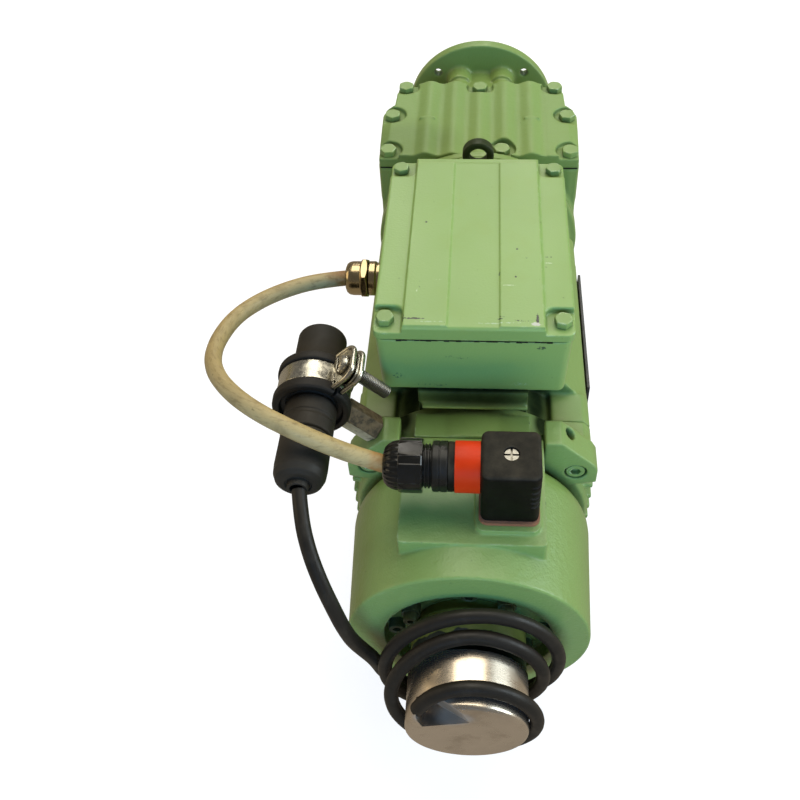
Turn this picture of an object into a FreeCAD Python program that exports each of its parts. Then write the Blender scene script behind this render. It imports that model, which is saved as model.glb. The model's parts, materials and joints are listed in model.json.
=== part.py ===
import FreeCAD, Part
import os, math

# Brake gear motor: helical-type gear unit with a round output flange, finned
# motor with terminal box, brake with a plug-in lead, shaft encoder with a
# coiled lead, and a pipe clamp that carries the encoder lead's connector.
#
# Everything is drawn in the motor's frame (y = 0 on the encoder's end face,
# z = 0 on the motor axis) and moved at the end, so that the origin is the
# centre of the output flange's mounting face and +Y is the output shaft.
V = FreeCAD.Vector

# ---------------------------------------------------------------- dimensions
L0 = 535.7            # encoder end face to flange mounting face
ZM = 10.7             # motor axis above the output axis
ZO = -ZM              # output axis in the motor's frame

R_ENC, Y_CAN, R_ENCB = 29.0, 28.0, 28.3          # encoder can and base
R_BC0, R_BC1 = 60.0, 62.6                        # brake cover, rim and rear
Y_BC0, Y_BC1 = 47.0, 120.0
PAD_Z = 61.5                                     # flat pad on the brake cover
Y_SH0, Y_SH1 = 124.5, 146.0                      # rear end shield
Y_ST1 = 300.0                                    # front end of the stator housing
R_ST = 65.4                                      # over the cooling fins
R_DE, R_DEF = 64.0, 69.5                         # drive-end shield and its flange
Y_DE1 = 350.0
Y_GC0, Y_GC1 = 357.0, 456.0                      # gear case
Z_GC = 55.0                                      # gear case cover joint
Z_SEAT = 63.0                                    # cover screw seats
R_NECK, Y_FL0 = 36.0, 526.4                      # flange neck, back of flange
R_FL, R_SPIG, H_SPIG = 60.0, 40.0, 3.0           # flange, centring spigot
PCD_FL, R_FLH = 100.0, 3.3                       # flange bolt circle, holes
R_OUT, L_OUT = 12.5, 50.0                        # output shaft end

BX, BY0, BY1 = 48.0, 143.5, 277.0                # terminal box
BZ0, BZ1 = 76.5, 113.0
LIDX, LID_SEAT, LID_MARGIN, LID_PANEL = 48.7, 118.4, 121.9, 123.0
LID_SCREW = [(sx * 43.0, y) for sx in (-1, 1) for y in (151.5, 269.5)]

COVER_SCREW = [(-54.1, 440.0), (54.1, 440.0), (0.0, 440.0), (-61.5, 404.0),
               (61.5, 404.0), (-61.5, 362.5), (61.5, 362.5), (15.6, 364.0)]

# gear train: straight-cut involute teeth
MOD, ALPHA, SHIFT, BACKLASH = 1.5, math.radians(20.0), 0.25, 0.20
Z1, Z2, Z3, Z4 = 13, 40, 13, 51
A1 = MOD * (Z1 + Z2) / 2.0                       # 39.75
A2 = MOD * (Z3 + Z4) / 2.0                       # 48.0
# intermediate axis: A1 from the motor axis and A2 from the output axis
ZI = (A2 ** 2 - A1 ** 2 - ZM ** 2) / (2 * ZM)
XI = -math.sqrt(A1 ** 2 - ZI ** 2)

EAR_X, EAR_Z, EAR_Y = 50.1, 59.9, 129.9          # tapped hole in the shield's ears
CLX, CLY, CLZ = -78.4, 130.7, 88.2               # pipe clamp and connector axis
PLX0, PLX1, PLY0, PLY1 = 4.7, 32.0, 73.8, 101.0  # valve-type plug
PLZ0, PLZ1 = 65.6, 100.0
PAX_Y, PAX_Z = 88.6, 87.5                        # plug's cable outlet axis
GLY, GLZ = 206.3, 94.0                           # metal cable gland axis

D_GREY, D_BLACK = 8.4, 7.0                       # cable diameters


# ------------------------------------------------------------------- helpers
def cyl_y(r, y0, y1, x=0.0, z=0.0):
    return Part.makeCylinder(r, y1 - y0, V(x, y0, z), V(0, 1, 0))


def tube_y(ro, ri, y0, y1, x=0.0, z=0.0):
    return cyl_y(ro, y0, y1, x, z).cut(cyl_y(ri, y0 - 1, y1 + 1, x, z))


def cyl(p, d, r, h):
    return Part.makeCylinder(r, h, V(*p), V(*d))


def rev_y(pts, x=0.0, z=0.0):
    w = Part.makePolygon([V(x + r, y, z) for r, y in pts + pts[:1]])
    return Part.Face(w).revolve(V(x, 0, z), V(0, 1, 0), 360)


def rev_x(pts, y, z):
    w = Part.makePolygon([V(x, y + r, z) for r, x in pts + pts[:1]])
    s = Part.Face(w).revolve(V(0, y, z), V(1, 0, 0), 360)
    return s if s.Volume > 0 else s.reversed()


def box(x0, x1, y0, y1, z0, z1):
    return Part.makeBox(x1 - x0, y1 - y0, z1 - z0, V(x0, y0, z0))


def prism_y(pts, y0, y1):
    w = Part.makePolygon([V(x, y0, z) for x, z in pts + pts[:1]])
    return Part.Face(w).extrude(V(0, y1 - y0, 0))


def prism_z(pts, z0, z1):
    w = Part.makePolygon([V(x, y, z0) for x, y in pts + pts[:1]])
    return Part.Face(w).extrude(V(0, 0, z1 - z0))


def rrect(x0, x1, y0, y1, r, z):
    k = r * (1 - math.sqrt(0.5))
    L, A = Part.LineSegment, Part.Arc
    p = lambda x, y: V(x, y, z)
    e = [L(p(x0 + r, y0), p(x1 - r, y0)), A(p(x1 - r, y0), p(x1 - k, y0 + k), p(x1, y0 + r)),
         L(p(x1, y0 + r), p(x1, y1 - r)), A(p(x1, y1 - r), p(x1 - k, y1 - k), p(x1 - r, y1)),
         L(p(x1 - r, y1), p(x0 + r, y1)), A(p(x0 + r, y1), p(x0 + k, y1 - k), p(x0, y1 - r)),
         L(p(x0, y1 - r), p(x0, y0 + r)), A(p(x0, y0 + r), p(x0 + k, y0 + k), p(x0 + r, y0))]
    return Part.Wire([s.toShape() for s in e])


def rbox(x0, x1, y0, y1, z0, z1, r):
    return Part.Face(rrect(x0, x1, y0, y1, r, z0)).extrude(V(0, 0, z1 - z0))


def rloft(a, za, b, zb):
    """Tapered block between two rounded rectangles (x0,x1,y0,y1,r)."""
    return Part.makeLoft([rrect(*a, za), rrect(*b, zb)], True, True)


def fuse(*s):
    out = s[0].fuse(list(s[1:])) if len(s) > 1 else s[0]
    return out.removeSplitter()


def cut(s, *tools):
    return s.cut(list(tools))


def fillet(s, r, pred):
    return s.makeFillet(r, [e for e in s.Edges if pred(e)])


def frame_of(d):
    d = V(*d)
    d.normalize()
    a = V(0, 0, 1) if abs(d.z) < 0.9 else V(1, 0, 0)
    u = a.cross(d)
    u.normalize()
    return u, d.cross(u), d


def hexbar(p, d, af, h, spin=0.0, chamfer=True, both=False):
    """Hexagonal bar on p along d, its far end chamfered like a bolt head."""
    u, w, d = frame_of(d)
    p = V(*p)
    R = af / math.sqrt(3)
    pts = []
    for k in range(7):
        t = spin + k * math.pi / 3
        pts.append(p + u * (R * math.cos(t)) + w * (R * math.sin(t)))
    s = Part.Face(Part.makePolygon(pts)).extrude(d * h)
    if chamfer:
        r = 0.485 * af
        s = s.common(Part.makeCone(r + 1.732 * h, r, h, p, d))
        if both:
            s = s.common(Part.makeCone(r, r + 1.732 * h, h, p, d))
    return s


def hex_screw(p, d, size, af, hh, length, spin=0.0):
    """Hexagon screw seated at p; d points out of the head."""
    u, w, dn = frame_of(d)
    back = V(*p) - dn * length
    head = hexbar(p, d, af, hh, spin)
    return fuse(head, cyl((back.x, back.y, back.z), d, size / 2.0, length + 0.5))


def cap_screw(p, d, size, length, hr=None, hh=None):
    """Socket head screw seated at p, with its hexagon socket."""
    hr = hr or 0.8 * size
    hh = hh or float(size)
    u, w, dn = frame_of(d)
    back = V(*p) - dn * length
    top = V(*p) + dn * (hh - 0.5 * size)
    head = cyl(p, d, hr, hh)
    head = fillet(head, 0.12 * size, lambda e: abs((e.CenterOfMass - V(*p)).dot(dn) - hh) < 1e-6)
    head = head.cut(hexbar((top.x, top.y, top.z), d, 0.8 * size, size, chamfer=False))
    return fuse(head, cyl((back.x, back.y, back.z), d, size / 2.0, length + 0.2))


def gear(z, shift, y0, y1, x, zc, phase):
    """Spur gear about an axis along Y; phase is the direction of one tooth,
    measured from +X towards +Z."""
    r = MOD * z / 2.0
    rb = r * math.cos(ALPHA)
    ra = r + MOD * (1 + shift)
    rf = r - MOD * (1.25 - shift)
    half = (math.pi / 2 + 2 * shift * math.tan(ALPHA)) / z - BACKLASH / 4.0 / r
    inv = lambda a: math.tan(a) - a

    def half_at(q):
        a = math.acos(min(1.0, rb / q))
        return half + inv(ALPHA) - inv(a)
    lo = max(rb, rf + 0.02)
    mid = 0.5 * (lo + ra)
    P = lambda q, t: V(x + q * math.cos(t), y0, zc + q * math.sin(t))
    edges = []
    for k in range(z):
        c = phase + 2 * math.pi * k / z
        n = c + 2 * math.pi / z
        a0, a1, a2 = half_at(lo), half_at(mid), half_at(ra)
        f0, f1 = P(rf, c - a0), P(rf, c + a0)
        edges.append(Part.LineSegment(f0, P(lo, c - a0)))
        edges.append(Part.Arc(P(lo, c - a0), P(mid, c - a1), P(ra, c - a2)))
        edges.append(Part.LineSegment(P(ra, c - a2), P(ra, c + a2)))
        edges.append(Part.Arc(P(ra, c + a2), P(mid, c + a1), P(lo, c + a0)))
        edges.append(Part.LineSegment(P(lo, c + a0), f1))
        edges.append(Part.LineSegment(f1, P(rf, n - a0)))
    return Part.Face(Part.Wire([e.toShape() for e in edges])).extrude(V(0, y1 - y0, 0))


def bearing(y0, w, rb, ro, x=0.0, z=0.0):
    """Shielded ball bearing: inner race, and outer race with its shields."""
    t = 0.27 * (ro - rb)
    inner = tube_y(rb + t, rb, y0, y0 + w, x, z)
    outer = tube_y(ro, rb + t + 0.35, y0, y0 + w, x, z)
    outer = outer.cut(tube_y(ro - t, rb + t - 1, y0 + 1.2, y0 + w - 1.2, x, z))
    return inner, outer


RADII = {}


def cord(name, pts, d, z_shift=0.0):
    """Round tube along straight runs joined by tangent arcs."""
    p = [V(*q) for q in pts]
    runs = [(p[i + 1] - p[i]).Length for i in range(len(p) - 1)]
    edges, here, length, radii, turns = [], p[0], 0.0, [], []
    for i in range(1, len(p) - 1):
        a, b = p[i] - p[i - 1], p[i + 1] - p[i]
        a.normalize()
        b.normalize()
        turn = math.acos(max(-1.0, min(1.0, a.dot(b))))
        t = 0.45 * min(runs[i - 1], runs[i])
        rad = t / math.tan(turn / 2)
        s, e = p[i] - a * t, p[i] + b * t
        bis = b - a
        bis.normalize()
        c = p[i] + bis * (rad / math.cos(turn / 2))
        m = c - bis * rad
        edges.append(Part.LineSegment(here, s).toShape())
        edges.append(Part.Arc(s, m, e).toShape())
        length += (s - here).Length + rad * turn
        here = e
        radii.append(rad)
        turns.append(math.degrees(turn))
    edges.append(Part.LineSegment(here, p[-1]).toShape())
    length += (p[-1] - here).Length
    wire = Part.Wire(edges)
    t0 = p[1] - p[0]
    ring = Part.Wire([Part.makeCircle(d / 2.0, p[0], t0)])
    s = wire.makePipeShell([ring], True, False)
    s = s if s.ShapeType == "Solid" else Part.Solid(s)
    want = math.pi * d * d / 4 * length
    print("%s: length %.1f, volume/section*length %.4f, radii %.1f..%.1f (%.1f d), turns %.0f..%.0f, runs %.1f..%.1f"
          % (name, length, s.Volume / want, min(radii), max(radii), min(radii) / d,
             min(turns), max(turns), min(runs), max(runs)))
    return s


NODES = {}


def node(name, *solids):
    NODES[name] = list(solids)


# ================================================================ gear train
TH = math.atan2(ZI, XI)                          # motor axis -> intermediate axis
TO = math.atan2(ZI - ZO, XI)                     # output axis -> intermediate axis
Y_G1, Y_G2 = 374.0, 388.0                        # first stage faces
Y_H1, Y_H2 = 411.0, 431.0                        # second stage faces

# motor pinion with a plug-in shank; one tooth points at the intermediate axis
pin1 = gear(Z1, SHIFT, Y_G1 - 2, Y_G2 + 2, 0, 0, TH)
node("motor_pinion", fuse(pin1, cyl_y(7.6, 350.5, Y_G1 - 2), cyl_y(5.0, 326.0, 350.5)))
# intermediate gear: a space faces back along TH
g2 = gear(Z2, -SHIFT, Y_G1, Y_G2, XI, ZI, TH + math.pi + math.pi / Z2)
g2 = cut(g2, cyl_y(9.0, Y_G1 - 1, Y_G2 + 1, XI, ZI),
         tube_y(23.5, 14.5, Y_G1 - 1, Y_G1 + 3.5, XI, ZI), tube_y(23.5, 14.5, Y_G2 - 3.5, Y_G2 + 1, XI, ZI))
node("intermediate_gear", g2)
# pinion shaft: one tooth points at the output axis
pin3 = gear(Z3, SHIFT, Y_H1 - 2, Y_H2 + 2, XI, ZI, TO + math.pi)
node("pinion_shaft", fuse(pin3, cyl_y(7.5, 357.0, 368.0, XI, ZI), cyl_y(9.0, 368.0, Y_G2, XI, ZI),
                          cyl_y(10.5, Y_G2, 393.0, XI, ZI), cyl_y(8.0, 393.0, Y_H1 - 2, XI, ZI),
                          cyl_y(7.6, Y_H2 + 2, 435.0, XI, ZI), cyl_y(6.0, 435.0, 444.0, XI, ZI)))
# output gear: a space faces the pinion
g4 = gear(Z4, -SHIFT, Y_H1, Y_H2, 0, ZO, TO + math.pi / Z4)
KEYW, KEYH = 8.0, 7.0
g4 = cut(g4, cyl_y(16.0, Y_H1 - 1, Y_H2 + 1, 0, ZO), box(-4, 4, Y_H1 - 1, Y_H2 + 1, ZO + 10, ZO + 19.2),
         tube_y(31.5, 22.5, Y_H1 - 1, Y_H1 + 5, 0, ZO), tube_y(31.5, 22.5, Y_H2 - 5, Y_H2 + 1, 0, ZO))
node("output_gear", g4)
shaft = rev_y([(0, 391.5), (9.4, 391.5), (10, 392.3), (10, 409.2), (16, 409.2), (16, Y_H2), (18, Y_H2),
               (18, 437), (15, 437), (15, L0 + 1.0), (R_OUT, L0 + 1.0), (R_OUT, L0 + L_OUT - 1.5),
               (R_OUT - 1.5, L0 + L_OUT), (0, L0 + L_OUT)], 0, ZO)
shaft.rotate(V(0, 0, ZO), V(0, 1, 0), -22.5)
slot = fuse(box(-4, 4, L0 + 9, L0 + 41, ZO + R_OUT - 4, ZO + R_OUT + 5),
            cyl((0, L0 + 9, ZO + R_OUT - 4), (0, 0, 1), 4, 9), cyl((0, L0 + 41, ZO + R_OUT - 4), (0, 0, 1), 4, 9))
shaft = cut(shaft, slot, box(-4, 4, Y_H1 + 1, Y_H2 - 1, ZO + 12, ZO + 20),
            cyl_y(4.25, L0 + L_OUT - 22, L0 + L_OUT + 1, 0, ZO))
node("output_shaft", shaft)
node("output_gear_key", box(-4, 4, Y_H1 + 1, Y_H2 - 1, ZO + 12, ZO + 19))

oi1, oo1 = bearing(394.5, 14.0, 10.0, 23.5, 0, ZO)
oi2, oo2 = bearing(503.5, 16.0, 15.0, 31.0, 0, ZO)
node("output_bearing_inner_races", oi1, oi2)
li1, lo1 = bearing(356.5, 11.0, 7.5, 17.5, XI, ZI)
li2, lo2 = bearing(435.0, 9.0, 6.0, 16.0, XI, ZI)
node("pinion_shaft_inner_races", li1, li2)

# ================================================================= gear case
def outline(e=0.0):
    return [(-67.5 - e, Y_GC0 - 1 - e), (67.5 + e, Y_GC0 - 1 - e), (69.0 + e, 408 + e), (66.5 + e, 413 + e),
            (60.8 + e, 416 + e), (60.0 + e, 441 + e), (56.5 + e, 445 + e), (-56.5 - e, 445 + e),
            (-60.0 - e, 441 + e), (-60.8 - e, 416 + e), (-66.5 - e, 413 + e), (-69.0 - e, 408 + e)]


gc = prism_y([(-70, Z_GC), (-70, -22), (-62, -44), (-45, -58), (-22, -64), (22, -64), (45, -58),
              (62, -44), (70, -22), (70, Z_GC)], Y_GC0 - 1, Y_GC1)
body_outline = outline()[:5] + [(59.6, 449.0), (56.0, Y_GC1), (-56.0, Y_GC1), (-59.6, 449.0)] + outline()[9:]
gc = gc.common(prism_z(body_outline, -80, Z_GC + 1))
gc = fuse(gc, cyl_y(R_DEF, Y_DE1, Y_GC0 - 1))
inner = prism_y([(-61.5, Z_GC + 1), (-61.5, -21), (-55, -39), (-41, -52), (-21, -58), (21, -58), (41, -52),
                 (55, -39), (61.5, -21), (61.5, Z_GC + 1)], 367.5, 443)
inner = inner.cut(fuse(box(55, 70, 400, 444, -80, 60), box(-70, -55, 400, 444, -80, 60)))
gc = gc.cut(inner)
web = prism_y([(-60.0, 16.5), (-60.0, -21), (-55, -39), (-41, -52), (-21, -60), (21, -60), (41, -52),
               (55, -39), (60.0, -21), (60.0, 16.5)], 394.0, 408.0)
bosses = [Part.makeCylinder(7.0, 30.0, V(x, y, Z_GC - 30)) for x, y in COVER_SCREW if abs(x) > 60]
shelf = box(-56.0, 56.0, 434.2, 444.0, 44.0, Z_GC)
bosses += [Part.makeCylinder(7.0, 25.0, V(x, y, Z_GC - 25)) for x, y in COVER_SCREW[:3]]
gc = fuse(gc, web, shelf, cyl_y(20.0, 434.2, 444.0, XI, ZI).common(box(-70, 70, 430, 450, 0, Z_GC)), *bosses)
gc = cut(gc, cyl_y(16.0, Y_DE1 - 1, 369), cyl_y(17.5, 356.0, 368.0, XI, ZI), cyl_y(11.0, 354.5, 368.0, XI, ZI),
         cyl_y(23.5, 394.4, 409.0, 0, ZO), cyl_y(17.5, 393.0, 395.0, 0, ZO),
         cyl_y(16.0, 433.0, 444.6, XI, ZI), cyl_y(27.0, 442.0, Y_GC1 + 1, 0, ZO),
         *[Part.makeCylinder(3.05, 24.0, V(x, y, Z_GC - 23)) for x, y in COVER_SCREW],
         *[cyl_y(2.55, 445.2, Y_GC1 + 1, sx * 17.0, ZO + sz * 30.5) for sx in (-1, 1) for sz in (-1, 1)],
         *[cyl_y(3.05, Y_DE1 - 1, 366.0, 46 * math.cos(t), 46 * math.sin(t))
           for t in (0, math.pi / 2, math.pi, 3 * math.pi / 2)])
# screw plugs: one on each flank and one underneath
PLUG = [((67.4, 430.0, -28.0), (1, 0, 0)), ((-67.4, 430.0, -28.0), (-1, 0, 0)), ((0.0, 430.0, -64.0), (0, 0, -1))]
plugs = []
for i, (p, d) in enumerate(PLUG):
    if i < 2:
        p = ((60.1 if i == 0 else -60.1), 430.0, -15.0)
    q = tuple(p[k] - 14 * d[k] for k in range(3))
    gc = gc.cut(cyl(q, d, 5.05, 30.0))
    s = hexbar(p, d, 14.0, 4.0)
    s = fuse(cyl(p, d, 7.5, 1.5), s, cyl(tuple(p[k] - 7 * d[k] for k in range(3)), d, 5.0, 7.2))
    plugs.append(s)
flat = [box(60.1, 75, 421, 439, -25, -5), box(-75, -60.1, 421, 439, -25, -5)]
gc = cut(gc, *flat)
node("gearcase", gc)
node("oil_plugs", *plugs)

# cover: wavy top, scalloped round its screws
zt = lambda x: 67.2 + 1.3 * math.cos(2 * math.pi * x / 18.0)
n = 60
xs = [-47 + 94.0 * i / n for i in range(n + 1)]
top = Part.BSplineCurve()
top.interpolate([V(x, Y_GC0 - 2, zt(x)) for x in xs])
za, zb = zt(-47), zt(47)
sk = [top.toShape()] + [Part.LineSegment(V(*a), V(*b)).toShape() for a, b in [
    ((47, Y_GC0 - 2, zb), (62, Y_GC0 - 2, 66.2)), ((62, Y_GC0 - 2, 66.2), (68.2, Y_GC0 - 2, 63.4)),
    ((68.2, Y_GC0 - 2, 63.4), (71, Y_GC0 - 2, 55.8)), ((71, Y_GC0 - 2, 55.8), (-71, Y_GC0 - 2, 55.8)),
    ((-71, Y_GC0 - 2, 55.8), (-68.2, Y_GC0 - 2, 63.4)), ((-68.2, Y_GC0 - 2, 63.4), (-62, Y_GC0 - 2, 66.2)),
    ((-62, Y_GC0 - 2, 66.2), (-47, Y_GC0 - 2, za))]]
cov = Part.Face(Part.Wire(sk)).extrude(V(0, 101, 0))
cov = cov.common(prism_z(outline(), 55.0, 75.0))
cov = cov.cut(rbox(-47, 47, 371.0, 434.0, 50.0, 62.6, 8.0))
cov = cut(cov, *[Part.makeCylinder(9.6, 12.0, V(x, y, Z_SEAT)) for x, y in COVER_SCREW])
cov = cut(cov, *[Part.makeCylinder(3.2, 12.0, V(x, y, 54.0)) for x, y in COVER_SCREW])
bars = [box(-42, -31, 396.5, 398.3, 65.5, 69.0), box(31, 42, 396.5, 398.3, 65.5, 69.0)]
cov = fuse(cov, *bars)
node("gearcase_cover", cov)
gask = prism_z(outline(-0.4), Z_GC, 55.8).cut(rbox(-58, 58, 368, 434.4, 50, 60, 4))
gask = cut(gask, *[Part.makeCylinder(3.2, 12.0, V(x, y, 50.0)) for x, y in COVER_SCREW])
corner = [box(sx * 52 - 8 if sx > 0 else -60, sx * 52 + 8 if sx > 0 else -44, 395, 413, Z_GC, 55.8) for sx in (-1, 1)]
gask = cut(fuse(gask, *[c.cut(Part.makeCylinder(3.2, 12.0, V(sx * 61.5, 404, 50.0))) for c, sx in zip(corner, (-1, 1))]),
           rbox(-51, 51, 368.5, 434.4, 50, 60, 4), cyl_y(16.4, 430.0, 446.0, XI, ZI))
node("cover_screws", *[hex_screw((x, y, Z_SEAT), (0, 0, 1), 6.0, 10.0, 4.2, 26.0, spin=0.35 * i)
                       for i, (x, y) in enumerate(COVER_SCREW)])

# output flange with its neck and four screw lobes
fl = rev_y([(0, Y_GC1), (31, Y_GC1), (R_NECK, Y_GC1), (R_NECK, Y_FL0), (R_FL - 0.8, Y_FL0), (R_FL, Y_FL0 + 0.8),
            (R_FL, L0 - 0.8), (R_FL - 0.8, L0), (R_SPIG, L0), (R_SPIG, L0 + H_SPIG - 0.6),
            (R_SPIG - 0.6, L0 + H_SPIG), (0, L0 + H_SPIG)], 0, ZO)
LOBE = [(sx * 17.0, ZO + sz * 30.5) for sx in (-1, 1) for sz in (-1, 1)]
lobes = []
for x, z in LOBE:
    lobes += [cyl_y(10.0, 513.0, Y_FL0 + 2, x, z), cyl_y(7.9, Y_GC1, 514.0, x, z)]
fl = fuse(fl, *lobes)
fl = fillet(fl, 3.0, lambda e: abs(e.CenterOfMass.y - Y_FL0) < 0.3 and e.BoundBox.YLength < 0.01
            and e.Length < 200 and e.Curve.TypeId == "Part::GeomCircle" and e.Curve.Radius < 50)
fl = cut(fl, cyl_y(27.0, Y_GC1 - 1, 470.0, 0, ZO), cyl_y(31.0, 469.0, 520.0, 0, ZO), cyl_y(20.0, 519.0, 528.0, 0, ZO),
         cyl_y(23.5, 527.0, L0 + H_SPIG + 1, 0, ZO),
         *[cyl_y(2.7, Y_GC1 - 1, L0 + 1, x, z) for x, z in LOBE],
         *[cyl_y(4.6, 524.0, L0 + H_SPIG + 1, x, z) for x, z in LOBE],
         *[cyl_y(R_FLH, Y_FL0 - 1, L0 + 1, PCD_FL / 2 * math.cos(t), ZO + PCD_FL / 2 * math.sin(t))
           for t in [math.radians(a) for a in (45, 135, 225, 315)]])
node("output_flange", fl)
FLANGE_SCR = [cap_screw((x, 524.0, z), (0, 1, 0), 5.0, 78.0, 4.25, 5.0) for x, z in LOBE]
seal1 = tube_y(23.5, 15.25, 528.0, 536.0, 0, ZO).cut(tube_y(21.0, 17.0, 534.0, 537.0, 0, ZO))
seal2 = tube_y(17.5, 10.25, 336.5, 343.5).cut(tube_y(15.5, 12.0, 341.5, 344.0))
node("shaft_seals", seal1, seal2)

# ================================================================ motor
# drive-end shield, bolted to the gear case
de = rev_y([(0, 318), (53.0, 318), (53.0, Y_ST1), (R_DE - 1.5, Y_ST1), (R_DE, Y_ST1 + 1.5), (R_DE + 0.8, 343),
            (R_DEF, 344), (R_DEF, Y_DE1), (0, Y_DE1)])
de = fuse(de, Part.makeCylinder(9.5, 18.0, V(0, 330.0, 58.0)))
SCR4 = [(46 * math.cos(t), 46 * math.sin(t)) for t in (0, math.pi / 2, math.pi, 3 * math.pi / 2)]
de = cut(de, cyl_y(23.5, 317.0, 332.5), cyl_y(13.0, 332.0, 337.0), cyl_y(17.5, 336.0, Y_DE1 + 1),
         Part.makeCylinder(3.05, 22.0, V(0, 330.0, 55.0)),
         *[cyl_y(3.2, 317.0, Y_DE1 + 1, x, z) for x, z in SCR4],
         *[cyl_y(5.5, 317.0, 330.0, x, z) for x, z in SCR4])
node("drive_end_shield", de)
ADAPTER_SCR = [cap_screw((x, 330.0, z), (0, -1, 0), 6.0, 33.0, 5.0, 6.0) for x, z in SCR4]

# lifting eye
ring = rev_y([(10.0, 327.0), (8.6, 326.2), (6.9, 326.2), (5.5, 327.2), (5.5, 332.8), (6.9, 333.8), (8.6, 333.8),
              (10.0, 333.0)], 0, 86.6)
eye = fuse(ring, Part.makeCylinder(6.5, 2.5, V(0, 330, 76.0)), Part.makeCone(6.0, 3.2, 3.0, V(0, 330, 78.0)),
           Part.makeCylinder(3.0, 20.5, V(0, 330, 56.0)))
eye = eye.cut(cyl_y(5.5, 320, 340, 0, 86.6))
node("lifting_eye", eye)

# finned stator housing with the pedestal of the terminal box
st = cyl_y(61.0, Y_SH1, Y_ST1)
rail = [(28, 50), (37, 66.0), (41.5, 66.0), (61.0, 43.0), (62.2, 41.0), (62.2, 36), (52, 28)]
step = [(36, 40), (41.5, 49.0), (58.6, 49.0), (62.2, 44.5), (62.2, 36), (52, 28)]
Y_RAIL = 165.0                                    # the upper rails begin here, behind a step
for sx in (-1, 1):
    for sz in (-1, 1):
        st = st.fuse(prism_y([(sx * x, sz * z) for x, z in rail], Y_RAIL if sz > 0 else Y_SH1, Y_ST1 - 2))
    st = st.fuse(prism_y([(sx * x, z) for x, z in step], Y_SH1, Y_RAIL + 1))
fins = []
for k in range(-2, 3):
    z = 10.0 * k
    for sx in (-1, 1):
        x0, x1 = sorted((sx * 50.0, sx * (R_ST - 0.02 * abs(k) ** 2.6)))
        fins.append(box(x0, x1, Y_SH1, Y_ST1 - 2, z - 1.6, z + 1.6))
for k in range(-2, 3):
    fins.append(box(9.5 * k - 1.4, 9.5 * k + 1.4, Y_SH1, Y_ST1 - 2, -R_ST + 1.2 * abs(k), -50))
ped = box(-28, 28, 141.5, 272.0, 52, BZ0)
ped = ped.cut(box(-40, 40, 130, Y_SH1, 40, 68.0))
ped = ped.fuse(box(-26.0, 28.0, 138.6, Y_SH1 + 2, 66.2, 68.2))
pads = [box(sx * 45.5 - 7, sx * 45.5 + 7, Y_SH1 - 9, Y_SH1 + 9, 52, 66.5) for sx in (-1, 1)]
st = fuse(st, ped, *fins)
st = cut(st, cyl_y(52.0, Y_SH1 - 8, Y_ST1 + 1), box(-20, 20, 190, 240, 40, BZ0 + 1))
node("stator_housing", st)
core = tube_y(52.0, 31.0, 172.0, 252.0)
node("stator_core", core)
coil = lambda a, b: rev_y([(34.5, a), (47.5, a), (50.0, a + 3), (50.0, b - 3), (47.5, b), (34.5, b), (32.5, b - 3), (32.5, a + 3)])
node("stator_windings", coil(151.0, 172.0), coil(252.0, 273.0))
rc = rev_y([(12, 168), (28, 168), (30.5, 172), (30.5, 252), (28, 256), (12, 256)])
node("rotor_core", rc)
rs = rev_y([(0, 66), (7.0, 66), (7.5, 66.6), (7.5, 118), (8.5, 118), (8.5, 139), (11, 139), (11, 168), (12, 168),
            (12, 256), (11.5, 256), (11.5, 318.5), (10, 318.5), (10, 349.5), (9.4, 350.4), (0, 350.4)])
rs = cut(rs, cyl_y(4.0, 65.0, 86.0), cyl_y(5.0, 325.5, 352.0))
node("rotor_shaft", rs)
ri1, ro1 = bearing(318.5, 14.0, 10.0, 23.5)
ri2, ro2 = bearing(126.5, 12.0, 8.5, 20.0)
node("rotor_bearing_inner_races", ri1, ri2)
node("bearing_outer_races", oo1, oo2, lo1, lo2, ro1, ro2)

# rating plate on the fins, left blank
node("rating_plate", box(R_ST, R_ST + 1.5, 189.0, 283.0, -17.0, 26.0))

# rear end shield with two tapped ears on top
sh = rev_y([(0, 111), (49.6, 111), (49.6, Y_BC1 + 0.4), (61.5, Y_BC1 + 0.4), (63.0, Y_BC1 + 3), (63.0, Y_SH1), (52.0, Y_SH1),
            (52.0, Y_SH1 + 4), (46, Y_SH1 + 4), (46, 142), (26, 142), (0, 142)])
sh = fuse(sh, box(-29.4, 29.4, Y_SH0, 140.0, 40, PAD_Z))
ear = [(36.6, 44), (36.6, 64.8), (45.2, 64.8), (62.4, 47.6), (64.6, 43.5), (64.6, 33), (48, 29)]
low = [(30, 48), (40, 60), (46, 60), (64.4, 42), (64.4, 33), (48, 28)]
for sx in (-1, 1):
    sh = sh.fuse(prism_y([(sx * x, z) for x, z in ear], 119.0, 134.6))
    sh = sh.fuse(prism_y([(sx * x, z) for x, z in step], 134.0, Y_SH1))
    sh = sh.fuse(prism_y([(sx * x, -z) for x, z in low], 119.0, Y_SH1))
fins = []
for k in range(-2, 3):
    z = 10.0 * k
    for sx in (-1, 1):
        x0, x1 = sorted((sx * 48.0, sx * (R_ST - 0.6 - 0.02 * abs(k) ** 2.6)))
        fins.append(box(x0, x1, 125.0, Y_SH1, z - 1.6, z + 1.6))
sh = fuse(sh, *fins)
SH_SCR = [(sx * 53.4, sz * 41.3) for sx in (-1, 1) for sz in (-1, 1)]
N = math.sqrt(0.5)
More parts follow.
